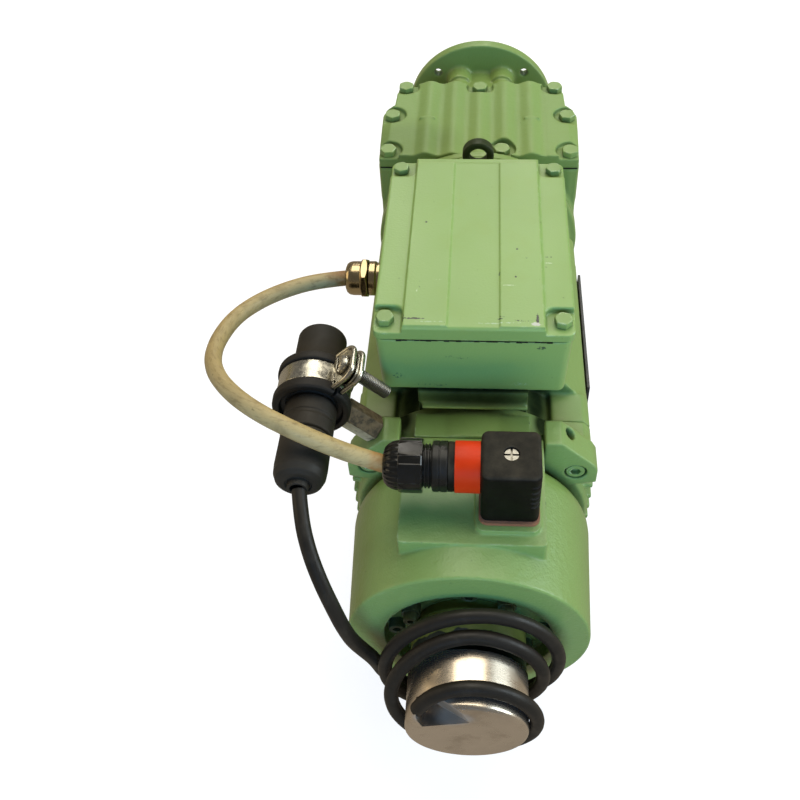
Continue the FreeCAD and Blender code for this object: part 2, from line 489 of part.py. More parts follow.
sh = cut(sh, box(-34.2, 36.2, 117.0, 124.4, 40.5, 70.0), cyl_y(20.0, 126.2, 143.0), cyl_y(14.0, 110.0, 127.0), cyl_y(26.0, 138.6, 143.0),
         *[cyl_y(3.2, 118.0, Y_SH1 + 1, x, z) for x, z in SH_SCR],
         *[cyl_y(5.8, 118.0, 125.5, x, z) for x, z in SH_SCR],
         *[cyl((sx * (EAR_X + 4 * N), EAR_Y, EAR_Z + 4 * N), (-sx, 0, -1), 3.4, 18.0) for sx in (-1, 1)])
node("rear_end_shield", sh)
NODES["stator_housing"][0] = cut(NODES["stator_housing"][0], cyl_y(52.05, Y_SH1 - 1, Y_SH1 + 4.2),
                                 *[cyl_y(3.05, Y_SH1 - 1, Y_SH1 + 18, x, z) for x, z in SH_SCR])
node("socket_head_screws", *([cap_screw((x, 125.5, z), (0, -1, 0), 6.0, 36.0, 5.0, 6.0) for x, z in SH_SCR] + ADAPTER_SCR + FLANGE_SCR))

# ================================================================ brake
STUD = [(43.0 * math.cos(t), 43.0 * math.sin(t)) for t in [math.radians(a) for a in (30, 150, 270)]]
SPRG = [(40.0 * math.cos(t), 40.0 * math.sin(t)) for t in [math.radians(a) for a in (0, 60, 120, 180, 240, 300)]]
mag = tube_y(48.0, 14.0, 66.0, 96.0)
mag = cut(mag, tube_y(34.0, 20.0, 76.0, 97.0), *[cyl_y(3.05, 65, 97, x, z) for x, z in STUD],
          *[cyl_y(3.6, 80.0, 97, x, z) for x, z in SPRG])
node("brake_magnet", mag, tube_y(33.8, 20.2, 76.0, 95.5))
node("brake_springs", *[tube_y(3.3, 2.3, 80.0, 95.9, x, z) for x, z in SPRG])
arm = tube_y(48.0, 16.0, 96.45, 103.0)
node("brake_armature", cut(arm, *[cyl_y(3.5, 96, 104, x, z) for x, z in STUD]))
node("brake_studs", *[fuse(cyl_y(3.0, 66.0, 116.0, x, z), hexbar((x, 66.0, z), (0, -1, 0), 9.0, 4.0)) for x, z in STUD])
NODES["rear_end_shield"][0] = cut(NODES["rear_end_shield"][0], *[cyl_y(3.05, 110, 117, x, z) for x, z in STUD])
hub = hexbar((0, 98.0, 0), (0, 1, 0), 22.0, 17.0, chamfer=False).cut(cyl_y(7.5, 97, 117))
node("brake_hub", hub)
disc = cyl_y(38.5, 103.1, 110.9).cut(hexbar((0, 102.0, 0), (0, 1, 0), 22.1, 10.0, chamfer=False))
disc = cut(disc, tube_y(25.0, 15.5, 102, 104.6), tube_y(25.0, 15.5, 109.4, 112))
node("brake_disc", disc)

# brake cover: pot with a flat pad and a raised seat for the plug
bc = rev_y([(25.3, 55.0), (41.5, 55.0), (42.0, 54.5), (42.0, Y_BC0), (R_BC0 - 0.8, Y_BC0), (R_BC0, Y_BC0 + 0.8), (R_BC1, 104.0),
            (62.3, 108.0), (61.2, 111.6), (59.4, 114.8), (56.9, 117.4), (53.8, 119.2), (50.4, Y_BC1),
            (49.8, Y_BC1), (49.8, 112.5), (56.0, 106.0), (56.0, 63.0), (46.0, 59.0), (25.3, 59.0)])
pad = box(-34.0, 36.0, 63.5, 119.6, 30, PAD_Z).cut(cyl_y(56.5, 50, 112.0)).cut(cyl_y(50.5, 111, 121))
pad = fillet(pad, 2.0, lambda e: e.BoundBox.ZLength > 5 and abs(e.CenterOfMass.y - 63.5) < 0.1 and e.BoundBox.XLength < 0.1)
seat = rbox(2.4, 33.2, 69.4, 103.6, 55.5, 63.8, 4.5)
bc = fuse(bc, pad, seat, box(-34.0, 36.0, 118.0, 124.2, 40.8, PAD_Z))
BC_SCR = [(36.0 * math.cos(t), 36.0 * math.sin(t)) for t in (0, math.pi / 2, math.pi, 3 * math.pi / 2)]
EN_SCR = [(33.6 * math.cos(t), 33.6 * math.sin(t)) for t in [math.radians(a) for a in (57, 147, 237, 327)]]
bc = cut(bc, rbox(9.3, 27.4, 78.7, 96.7, 50, 67, 2.0),
         *[cyl_y(2.6, 54, 60, x, z) for x, z in BC_SCR], *[cyl_y(2.05, 54, 60, x, z) for x, z in EN_SCR])
node("brake_cover", bc)
COVER_SCR = [cap_screw((x, 55.0, z), (0, -1, 0), 5.0, 9.0, 4.25, 5.0) for x, z in BC_SCR]

# ================================================================ encoder
base = rev_y([(6.0, 30.0), (26.4, 30.0), (26.4, Y_CAN), (R_ENCB, Y_CAN), (R_ENCB, 49.0), (25.0, 49.0), (25.0, 60.0), (6.0, 60.0)])
node("encoder_base", base)
can = cyl_y(R_ENC, 0, Y_CAN)
can = fillet(can, 3.0, lambda e: abs(e.CenterOfMass.y) < 1e-6)
can = can.cut(cyl_y(26.5, 11.0, Y_CAN + 1))
# sloping pocket where the lead leaves the can, upper left of the face
tx, tz = 0.953, 0.302
ax, az = -16.5, 9.0
def pk(s, n, y):
    return V(ax + s * tx - n * tz, y, az + s * tz + n * tx)
face = Part.Face(Part.makePolygon([pk(-4.0, 0, -1), pk(19.5, 0, -1), pk(18.5, 0, 0.3), pk(3.0, 0, 9.5), pk(-4.0, 0, 9.5), pk(-4.0, 0, -1)]))
can = can.cut(face.extrude(V(-tz * 40, 0, tx * 40)))
node("encoder_can", can)
node("encoder_shaft", fuse(cyl_y(4.0, 18.0, 84.0), tube_y(19.0, 3.9, 20.0, 22.0)))
clamps = []
for x, z in EN_SCR:
    s = cap_screw((x, 49.4, z), (0, -1, 0), 4.0, 10.0, 3.5, 4.0)
    clamps.append(fuse(s, cyl_y(4.6, 49.4, 55.0, x, z)))
node("end_cover_screws", *(COVER_SCR + clamps))

# ================================================================ terminal box
def bx(e, r):
    return (-BX - e, BX + e, BY0 - e * 0.3, BY1 + e * 0.3, r)
tb = rloft(bx(-1.6, 4.2), BZ0, bx(0.0, 4.4), BZ1)
tbi = rloft((-42.5, 42.5, 148.0, 272.5, 4.0), BZ0 + 4.0, (-44.0, 44.0, 147.3, 273.2, 4.0), BZ1 + 1.0)
tb = tb.cut(tbi)
posts = [Part.makeCylinder(6.3, BZ1 - BZ0 - 2, V(x, y, BZ0 + 2)) for x, y in LID_SCREW]
gbody = rloft(bx(-1.6, 4.2), BZ0, bx(0.0, 4.4), BZ1)
tb = fuse(tb, *[p.common(gbody) for p in posts])
lip = [box(sx * 42 - 5, sx * 42 + 5, y0, y1, BZ0 - 3.0, BZ0) for sx in (-1, 1) for y0, y1 in ((150, 162), (258, 270))]
tb = cut(tb, box(-18, 18, 192, 238, BZ0 - 1, BZ0 + 6), *[Part.makeCylinder(2.55, 20.0, V(x, y, BZ1 - 18)) for x, y in LID_SCREW],
         cyl((-60, GLY, GLZ), (1, 0, 0), 8.0, 30.0))
node("terminal_box", tb)
gk = rbox(-BX + 0.5, BX - 0.5, BY0 + 0.5, BY1 - 0.5, BZ1, BZ1 + 0.8, 4.4).cut(rbox(-43.0, 43.0, 159.0, 262.0, BZ1 - 1, BZ1 + 2, 3.0))
gk = cut(gk, rbox(-35.0, 35.0, 148.0, 273.0, BZ1 - 1, BZ1 + 2, 3.0), *[Part.makeCylinder(2.7, 4.0, V(x, y, BZ1 - 1)) for x, y in LID_SCREW])
node("joint_gaskets", gask, gk)
LZ0 = BZ1 + 0.8
lid = rbox(-LIDX, LIDX, BY0 - 0.4, BY1 + 0.4, LZ0, LID_SEAT, 4.0)
marg = rbox(-LIDX, LIDX, BY0 - 0.4, BY1 + 0.4, LID_SEAT - 1, LID_MARGIN, 4.0)
marg = cut(marg, *[rbox(sx * 34.6 if sx > 0 else -70, 70 if sx > 0 else sx * 34.6, y0, y1, LID_SEAT, 130, 4.0)
                   for sx in (-1, 1) for y0, y1 in ((120, 158.5), (261.0, 300))])
marg = fillet(marg, 1.2, lambda e: abs(e.CenterOfMass.z - LID_MARGIN) < 1e-4)
panel = box(-34.0, 34.0, BY0 + 0.6, BY1 - 4.5, LID_MARGIN - 2, LID_PANEL)
panel = panel.cut(box(-12.7, 12.7, 100, 300, LID_PANEL - 0.7, 130))
panel = fillet(panel, 0.35, lambda e: e.CenterOfMass.z > LID_PANEL - 0.8 and e.BoundBox.ZLength < 1e-6 and e.CenterOfMass.z > LID_PANEL - 0.01)
lid = fuse(lid, marg, panel)
lid = cut(lid, rbox(-41.5, 41.5, 160, 261, LZ0 - 1, 119.2, 4.0), *[Part.makeCylinder(2.75, 10.0, V(x, y, LZ0 - 1)) for x, y in LID_SCREW])
node("terminal_box_lid", lid)
node("lid_screws", *[hex_screw((x, y, LID_SEAT), (0, 0, 1), 5.0, 8.0, 3.6, 20.0, spin=0.5 + 0.4 * i)
                     for i, (x, y) in enumerate(LID_SCREW)])
brd = rbox(-24, 24, 196, 234, BZ0 + 4.0, BZ0 + 12.0, 3.0)
studs = [Part.makeCylinder(2.5, 10.0, V(x, y, BZ0 + 12)) for x in (-15, 0, 15) for y in (206, 224)]
node("terminal_board", fuse(brd, *studs))

# metal cable gland on the left wall
gl = fuse(rev_x([(4.3, -60.0), (7.6, -60.0), (7.6, -57.5), (9.0, -57.5), (9.4, -57.1), (9.4, -53.9), (9.0, -53.4), (8.7, -53.4), (8.7, -48.0),
                 (7.9, -48.0), (7.9, -40.0), (4.3, -40.0)], GLY, GLZ))
nut = rev_x([(4.35, -70.0), (6.2, -70.0), (7.9, -69.3), (8.9, -68.0), (9.3, -66.0), (9.3, -61.2), (4.35, -61.2)], GLY, GLZ)
nut = fuse(nut, hexbar((-61.6, GLY, GLZ), (1, 0, 0), 20.0, 3.9, spin=0.26, both=True))
nut = cut(nut, cyl((-80, GLY, GLZ), (1, 0, 0), 4.35, 60), cyl((-60.1, GLY, GLZ), (1, 0, 0), 7.65, 5))
node("gland_body", gl)
node("gland_nuts", nut, hexbar((-42.4, GLY, GLZ), (1, 0, 0), 20.0, 4.0).cut(cyl((-80, GLY, GLZ), (1, 0, 0), 7.9, 60)))

# ================================================================ brake plug
node("plug_gasket", rbox(PLX0 - 0.7, PLX1 + 0.6, PLY0 - 1.3, PLY1 + 0.6, 63.8, PLZ0, 4.2).cut(rbox(9.2, 27.5, 78.6, 96.8, 60, 70, 2.0)))
sock = rbox(9.4, 27.3, 78.8, 96.6, 58.0, 74.0, 2.0)
sock = fuse(sock, *[box(x - 0.4, x + 0.4, y - 3, y + 3, 73, 80) for x, y in ((14, 88), (22.6, 88))])
sock = sock.cut(Part.makeCylinder(1.55, 12, V(18.35, 87.7, 63)))
node("plug_socket", sock)
ph = rbox(PLX0, PLX1, PLY0, PLY1, PLZ0, PLZ1, 3.6)
ph = fillet(ph, 1.8, lambda e: abs(e.CenterOfMass.z - PLZ1) < 1e-4)
grooves = [box(PLX1 - 4.4, PLX1 + 3, PLY0 - 3, PLY1 + 3, z, z + 1.3).cut(rbox(PLX0, PLX1 - 0.8, PLY0 + 0.8, PLY1 - 0.8, z - 1, z + 3, 2.8))
           for z in (77.0, 80.4, 84.1, 88.3, 92.7)]
ph = fuse(ph, rev_x([(0, 6.5), (11.7, 6.5), (11.7, -7.4), (11.2, -7.4), (11.2, -8.0), (11.6, -8.0), (11.6, -10.4), (0, -10.4)], PAX_Y, PAX_Z))
ph = cut(ph, rbox(9.2, 27.5, 78.6, 96.8, 60, 81.0, 2.0), cyl((-12, PAX_Y, PAX_Z), (1, 0, 0), 8.2, 26.0),
         Part.makeCylinder(1.75, 40, V(18.35, 87.7, 70)), Part.makeCylinder(3.6, 6, V(18.35, 87.7, 96.5)), *grooves)
node("plug_housing", ph)
ps = fuse(Part.makeCylinder(3.3, 2.6, V(18.35, 87.7, 96.5)), Part.makeCylinder(1.5, 30.0, V(18.35, 87.7, 67.0)))
ps = cut(ps, box(15.0, 21.7, 87.2, 88.2, 98.2, 100), box(17.85, 18.85, 84.4, 91.0, 98.2, 100))
node("plug_screw", ps)
gb = fuse(rev_x([(4.4, -17.6), (11.4, -17.6), (11.8, -17.2), (11.8, -10.4), (4.4, -10.4)], PAX_Y, PAX_Z),
          rev_x([(4.4, -25.0), (9.4, -25.0), (10.0, -24.4), (10.0, -17.6), (4.4, -17.6)], PAX_Y, PAX_Z),
          rev_x([(4.4, -10.6), (8.1, -10.6), (8.1, -2.0), (4.4, -2.0)], PAX_Y, PAX_Z))
node("plug_gland_body", gb)
gn = hexbar((-32.8, PAX_Y, PAX_Z), (1, 0, 0), 24.0, 10.8, both=True)
gn = fuse(gn, rev_x([(0, -40.4), (6.4, -40.4), (9.2, -39.0), (10.9, -36.4), (11.6, -32.4), (0, -32.4)], PAX_Y, PAX_Z))
gn = cut(gn, cyl((-42, PAX_Y, PAX_Z), (1, 0, 0), D_GREY / 2 + 0.15, 40), cyl((-32.0, PAX_Y, PAX_Z), (1, 0, 0), 10.05, 12))
node("plug_gland_nut", gn)

# ================================================================ clamp and connector
EX, EZ = -EAR_X, EAR_Z                            # left ear's tapped hole
d1 = V(N, 0, -N)                                  # clamp towards the ear
e1 = V(N, 0, N)                                   # clamp towards its closing ears
C = V(CLX, CLY, CLZ)
R_RUB, R_BAND, R_LIP = 17.0, 18.2, 19.4
rub = rev_y([(12.8, CLY - 9.4), (15.2, CLY - 9.4), (15.8, CLY - 12.2), (18.4, CLY - 12.2), (19.3, CLY - 11.0), (R_LIP, CLY - 7.2),
             (18.9, CLY - 6.2), (R_RUB, CLY - 5.8), (R_RUB, CLY + 5.8), (18.8, CLY + 6.2), (19.2, CLY + 7.2), (19.1, CLY + 10.2),
             (18.2, CLY + 11.2), (12.8, CLY + 11.2)], CLX, CLZ)
u45 = lambda s, t: C + d1 * s + e1 * t
def slab(s0, s1, t0, t1, y0, y1):
    w = Part.makePolygon([V(q.x, y0, q.z) for q in (u45(s0, t0), u45(s1, t0), u45(s1, t1), u45(s0, t1), u45(s0, t0))])
    return Part.Face(w).extrude(V(0, y1 - y0, 0))
rub = rub.cut(slab(-0.6, 0.6, 10, 30, CLY - 20, CLY + 20))
node("clamp_rubber", rub)
T_EAR = 26.0                                      # closing screw's distance from the axis
band = tube_y(R_BAND, R_RUB, CLY - 5.6, CLY + 5.6, CLX, CLZ).cut(slab(-0.9, 0.9, 10, 30, CLY - 20, CLY + 20))
def earplate(s0, s1):
    wing = rbox(19.8, 32.4, -9.2, 9.6, -s1, -s0, 5.8)
    wing.Placement = FreeCAD.Placement(FreeCAD.Matrix(e1.x, 0, -d1.x, C.x, 0, 1, 0, C.y, e1.z, 0, -d1.z, C.z, 0, 0, 0, 1))
    root = slab(s0, s1, R_RUB - 0.8, 23.0, CLY - 5.5, CLY + 5.5)
    return fuse(wing, root)
e_a, e_b = earplate(-2.7, -0.9), earplate(0.9, 2.7)
band = fuse(band, e_a, e_b).cut(cyl_y(R_RUB, CLY - 12, CLY + 12, CLX, CLZ))
h0 = u45(-20, T_EAR)
band = band.cut(cyl((h0.x, CLY, h0.z), (d1.x, 0, d1.z), 3.1, 40))
node("clamp_band", band)
s0 = u45(-2.7, T_EAR)
cs = fuse(cyl((s0.x, CLY, s0.z), (-d1.x, 0, -d1.z), 5.2, 2.0),
          Part.makeCone(5.2, 3.4, 1.4, s0 - d1 * 2.0, d1 * -1))
cs = cs.cut(slab(-8.0, -4.7, T_EAR - 0.6, T_EAR + 0.6, CLY - 8, CLY + 8))
tip = 25.5
csn = cyl((s0.x, CLY, s0.z), (d1.x, 0, d1.z), 3.0, tip + 2.7)
n0 = u45(2.7, T_EAR)
node("clamp_screw_and_nut", fuse(cs, csn), hexbar((n0.x, CLY, n0.z), (d1.x, 0, d1.z), 10.0, 3.4).cut(cyl((h0.x, CLY, h0.z), (d1.x, 0, d1.z), 3.0, 60)))
q0 = V(EX, EAR_Y, EZ)                             # hexagon spacer from the ear to the band
dist = (C - q0).dot(d1 * -1)
sp = hexbar((q0.x, EAR_Y, q0.z), (-d1.x, 0, -d1.z), 13.0, dist - R_LIP + 3.0, spin=0.3, chamfer=False)
sp = sp.cut(cyl_y(R_LIP + 0.3, CLY - 30, CLY + 30, CLX, CLZ))
stud = cyl((q0.x, EAR_Y, q0.z), (-d1.x, 0, -d1.z), 4.2, dist - R_BAND + 2.0).cut(cyl_y(R_BAND, CLY - 30, CLY + 30, CLX, CLZ))
thr = q0 + d1 * 12.0
sp = fuse(sp, stud, cyl((thr.x, EAR_Y, thr.z), (-d1.x, 0, -d1.z), 3.35, 13.0))
node("hex_spacer", sp)

CAPE = 166.6                                      # end of the connector's cap
cap = rev_y([(0, CAPE), (10.6, CAPE), (11.9, CAPE - 0.6), (12.6, CAPE - 2.0), (12.7, CAPE - 16.0), (12.7, 132.6), (0, 132.6)], CLX, CLZ)
cap = cap.cut(cyl_y(10.4, 132.0, CAPE - 3.5, CLX, CLZ))
node("connector_cap", cap)
body = rev_y([(0, 132.2), (12.7, 132.2), (12.7, 121.6), (12.0, 121.0), (12.0, 119.8), (12.7, 119.2), (12.7, 111.6), (12.2, 111.0),
              (12.2, 109.4), (12.6, 108.8), (12.6, 102.0), (11.6, 101.2), (0, 101.2)], CLX, CLZ)
pinbk = fuse(body, cyl_y(10.2, 132.0, 141.0, CLX, CLZ))
node("connector_body", pinbk)
bk = rev_y([(0, 101.0), (11.9, 101.0), (12.4, 100.4), (12.6, 85.0), (12.3, 80.5), (11.0, 77.4), (8.6, 75.8), (6.4, 75.6), (6.0, 76.6),
            (5.2, 76.6), (4.9, 73.2), (3.55, 73.2), (3.55, 93.0), (0, 93.0)], CLX, CLZ)
node("connector_backshell", bk)

# ================================================================ cords
GREY = [(-69.9, GLY, GLZ), (-85.0, 202.8, 95.1), (-100.7, 193.6, 97.3), (-113.5, 181.1, 100.2), (-122.5, 166.1, 103.5),
        (-126.7, 148.4, 106.5), (-125.8, 131.8, 110.4), (-119.8, 117.5, 114.1), (-108.7, 104.5, 116.2), (-94.8, 94.9, 115.4),
        (-79.3, 89.2, 111.3), (-65.3, 87.4, 103.7), (-52.4, 87.9, 95.0), (-39.4, PAX_Y, 88.0)]
BLACK = [(-77.8, 73.8, 87.1), (-75.5, 61.0, 83.4), (-71.1, 48.5, 76.8), (-65.7, 39.0, 67.1), (-60.4, 32.9, 54.0),
         (-57.2, 30.8, 41.0), (-54.4, 31.4, 26.6), (-50.2, 32.8, 12.4), (-44.9, 34.0, -1.5)]
grey = cord("brake_lead", GREY, D_GREY)
black = cord("encoder_lead", BLACK, D_BLACK)
node("brake_lead", grey)
node("encoder_lead", black)
node("encoder_lead_coil", rev_y([(29.6, 3.2), (37.4, 3.2), (40.5, 10.0), (42.0, 24.0), (48.6, 29.0), (48.6, 41.6), (34.0, 41.6), (33.0, 29.0), (29.6, 20.0)]))

# ================================================================ hand over
os.makedirs("parts", exist_ok=True)
for old in os.listdir("parts"):
    if old.endswith(".step") and old[:-5] not in NODES:
        os.remove(os.path.join("parts", old))
shift = V(0, -L0, ZM)
total = 0.0
for name, solids in sorted(NODES.items()):
    flat_ = []
    for s in solids:
        flat_ += s.Solids
    for s in flat_:
        if not s.isValid():
            print("INVALID", name)
        if s.Volume <= 0:
            print("NEGATIVE", name)
    if len(flat_) != len(solids):
        print("PIECES", name, len(solids), "->", len(flat_))
    out = flat_[0] if len(flat_) == 1 else Part.makeCompound(flat_)
    out = out.copy()
    out.translate(shift)
    out.exportStep("parts/%s.step" % name)
    total += out.Volume
print(len(NODES), "nodes; intermediate axis at", round(XI, 3), round(ZI + ZM, 3), "total volume cm3", round(total / 1000, 1))
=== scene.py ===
import json
import math

import bmesh
import bpy
from mathutils import Matrix, Vector


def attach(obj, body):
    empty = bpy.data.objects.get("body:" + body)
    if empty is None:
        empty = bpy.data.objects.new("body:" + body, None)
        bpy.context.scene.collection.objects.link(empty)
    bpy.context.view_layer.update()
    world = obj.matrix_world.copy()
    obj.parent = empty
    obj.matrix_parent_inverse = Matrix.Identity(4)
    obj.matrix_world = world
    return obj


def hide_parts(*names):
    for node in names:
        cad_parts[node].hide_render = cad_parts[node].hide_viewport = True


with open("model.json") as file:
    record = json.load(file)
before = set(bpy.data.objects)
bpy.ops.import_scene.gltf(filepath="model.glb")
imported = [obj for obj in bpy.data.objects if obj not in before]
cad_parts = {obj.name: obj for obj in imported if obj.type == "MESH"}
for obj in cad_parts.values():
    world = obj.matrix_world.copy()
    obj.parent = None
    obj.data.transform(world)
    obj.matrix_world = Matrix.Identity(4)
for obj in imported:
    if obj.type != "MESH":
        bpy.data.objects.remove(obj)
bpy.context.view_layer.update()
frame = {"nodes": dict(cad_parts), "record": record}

scene = bpy.context.scene
scene.view_settings.view_transform = "Standard"
scene.view_settings.look = "None"
NODES = frame["nodes"]
BODY = {n: b for b, ns in frame["record"]["behaviour"]["bodies"].items() for n in ns}
SLOT = {s["node"]: s["material_slot"] for s in frame["record"]["subparts"]}


def P(x, y, z):
    """Motor frame in millimetres (encoder end face, motor axis) to the row frame in metres."""
    return Vector((x / 1000.0, (y - 535.7) / 1000.0, (z + 10.7) / 1000.0))


# ------------------------------------------------------------------ camera
cam_data = bpy.data.cameras.new("camera")
cam_data.sensor_width = 36.0
cam_data.lens = 42.2995
cam_data.shift_x, cam_data.shift_y = -0.026633, -0.093917
cam_data.clip_start, cam_data.clip_end = 0.02, 20.0
camera = bpy.data.objects.new("camera", cam_data)
scene.collection.objects.link(camera)
right = Vector((0.997843, 0.055632, -0.034846))
up = Vector((-0.016413, 0.725411, 0.688121))
back = -Vector((-0.063559, 0.686064, -0.724759))
camera.matrix_world = Matrix.Translation((0.003684, -0.697778, 0.457619)) @ Matrix(
    ((right.x, up.x, back.x), (right.y, up.y, back.y), (right.z, up.z, back.z))).to_4x4()
scene.camera = camera


# --------------------------------------------------------------- materials
class Nodes:
    """A material's node tree with short ways to add nodes."""

    def __init__(self, name):
        self.mat = bpy.data.materials.new(name)
        self.mat.use_nodes = True
        self.nt = self.mat.node_tree
        self.nt.nodes.clear()
        out = self.nt.nodes.new("ShaderNodeOutputMaterial")
        self.bsdf = self.nt.nodes.new("ShaderNodeBsdfPrincipled")
        self.nt.links.new(self.bsdf.outputs[0], out.inputs[0])
        self.co = self.nt.nodes.new("ShaderNodeTexCoord").outputs["Object"]

    def put(self, socket, value):
        if isinstance(value, bpy.types.NodeSocket):
            self.nt.links.new(value, socket)
        else:
            if isinstance(value, (tuple, list)) and len(value) == 3 and socket.type == "RGBA":
                value = (*value, 1.0)
            socket.default_value = value
        return socket

    def set(self, **kw):
        for k, v in kw.items():
            self.put(self.bsdf.inputs[k.replace("_", " ")], v)

    def add(self, kind, **kw):
        n = self.nt.nodes.new(kind)
        for k, v in kw.items():
            setattr(n, k, v)
        return n

    def noise(self, scale, detail=2.0, rough=0.5, vec=None, distort=0.0):
        n = self.add("ShaderNodeTexNoise")
        self.put(n.inputs["Vector"], vec or self.co)
        n.inputs["Scale"].default_value = scale
        n.inputs["Detail"].default_value = detail
        n.inputs["Roughness"].default_value = rough
        n.inputs["Distortion"].default_value = distort
        return n.outputs[0]

    def voronoi(self, scale, vec=None, feature="F1"):
        n = self.add("ShaderNodeTexVoronoi", feature=feature)
        self.put(n.inputs["Vector"], vec or self.co)
        n.inputs["Scale"].default_value = scale
        return n.outputs["Distance"]

    def wave(self, scale, direction="X", distort=0.0, vec=None, bands=True):
        n = self.add("ShaderNodeTexWave", wave_type="BANDS" if bands else "RINGS")
        if bands:
            n.bands_direction = direction
        else:
            n.rings_direction = direction
        self.put(n.inputs["Vector"], vec or self.co)
        n.inputs["Scale"].default_value = scale
        n.inputs["Distortion"].default_value = distort
        n.inputs["Detail"].default_value = 1.0
        return n.outputs["Fac"]

    def ramp(self, fac, lo, hi, a=0.0, b=1.0):
        n = self.add("ShaderNodeMapRange", interpolation_type="SMOOTHSTEP")
        n.clamp = True
        self.put(n.inputs["Value"], fac)
        for k, v in (("From Min", lo), ("From Max", hi), ("To Min", a), ("To Max", b)):
            n.inputs[k].default_value = v
        return n.outputs["Result"]

    def math(self, op, a, b=0.0, clamp=False):
        n = self.add("ShaderNodeMath", operation=op, use_clamp=clamp)
        self.put(n.inputs[0], a)
        self.put(n.inputs[1], b)
        return n.outputs[0]

    def mul(self, *vals):
        out = vals[0]
        for v in vals[1:]:
            out = self.math("MULTIPLY", out, v)
        return out

    def mix(self, fac, a, b, blend="MIX"):
        n = self.add("ShaderNodeMix", data_type="RGBA", blend_type=blend)
        self.put(n.inputs[0], fac)
        self.put(n.inputs[6], a)
        self.put(n.inputs[7], b)
        return n.outputs[2]

    def stretch(self, sx, sy, sz):
        n = self.add("ShaderNodeMapping")
        self.put(n.inputs["Vector"], self.co)
        n.inputs["Scale"].default_value = (sx, sy, sz)
        return n.outputs[0]

    def blob(self, centre, size):
        """1 at centre falling to 0 at the ellipsoid's edge; row frame, metres."""
        n = self.add("ShaderNodeMapping", vector_type="TEXTURE")
        self.put(n.inputs["Vector"], self.co)
        n.inputs["Location"].default_value = centre
        n.inputs["Scale"].default_value = size
        ln = self.add("ShaderNodeVectorMath", operation="LENGTH")
        self.put(ln.inputs[0], n.outputs[0])
        return self.ramp(ln.outputs["Value"], 1.0, 0.35)

    def edges(self, ao, radius=0.0014):
        """1 on outside edges, 0 on flats and in corners."""
        bev = self.add("ShaderNodeBevel", samples=4)
        bev.inputs["Radius"].default_value = radius
        geo = self.add("ShaderNodeNewGeometry")
        dot = self.add("ShaderNodeVectorMath", operation="DOT_PRODUCT")
        self.put(dot.inputs[0], bev.outputs[0])
        self.put(dot.inputs[1], geo.outputs["Normal"])
        return self.mul(self.ramp(dot.outputs["Value"], 0.985, 0.90), self.ramp(ao, 0.72, 0.92))

    def cavity(self, distance=0.006):
        n = self.add("ShaderNodeAmbientOcclusion", samples=4)
        n.inputs["Distance"].default_value = distance
        return n.outputs["AO"]

    def xyz(self, vec=None):
        n = self.add("ShaderNodeSeparateXYZ")
        self.put(n.inputs[0], vec or self.co)
        return n.outputs

    def bump(self, height, dist, strength=1.0, normal=None):
        n = self.add("ShaderNodeBump")
        n.inputs["Strength"].default_value = strength
        n.inputs["Distance"].default_value = dist
        self.put(n.inputs["Height"], height)
        if normal is not None:
            self.put(n.inputs["Normal"], normal)
        return n.outputs["Normal"]


def shade(c, k):
    return tuple(min(1.0, v * k) for v in c)


GREEN = (0.196, 0.293, 0.077)
PALE = (0.229, 0.346, 0.089)


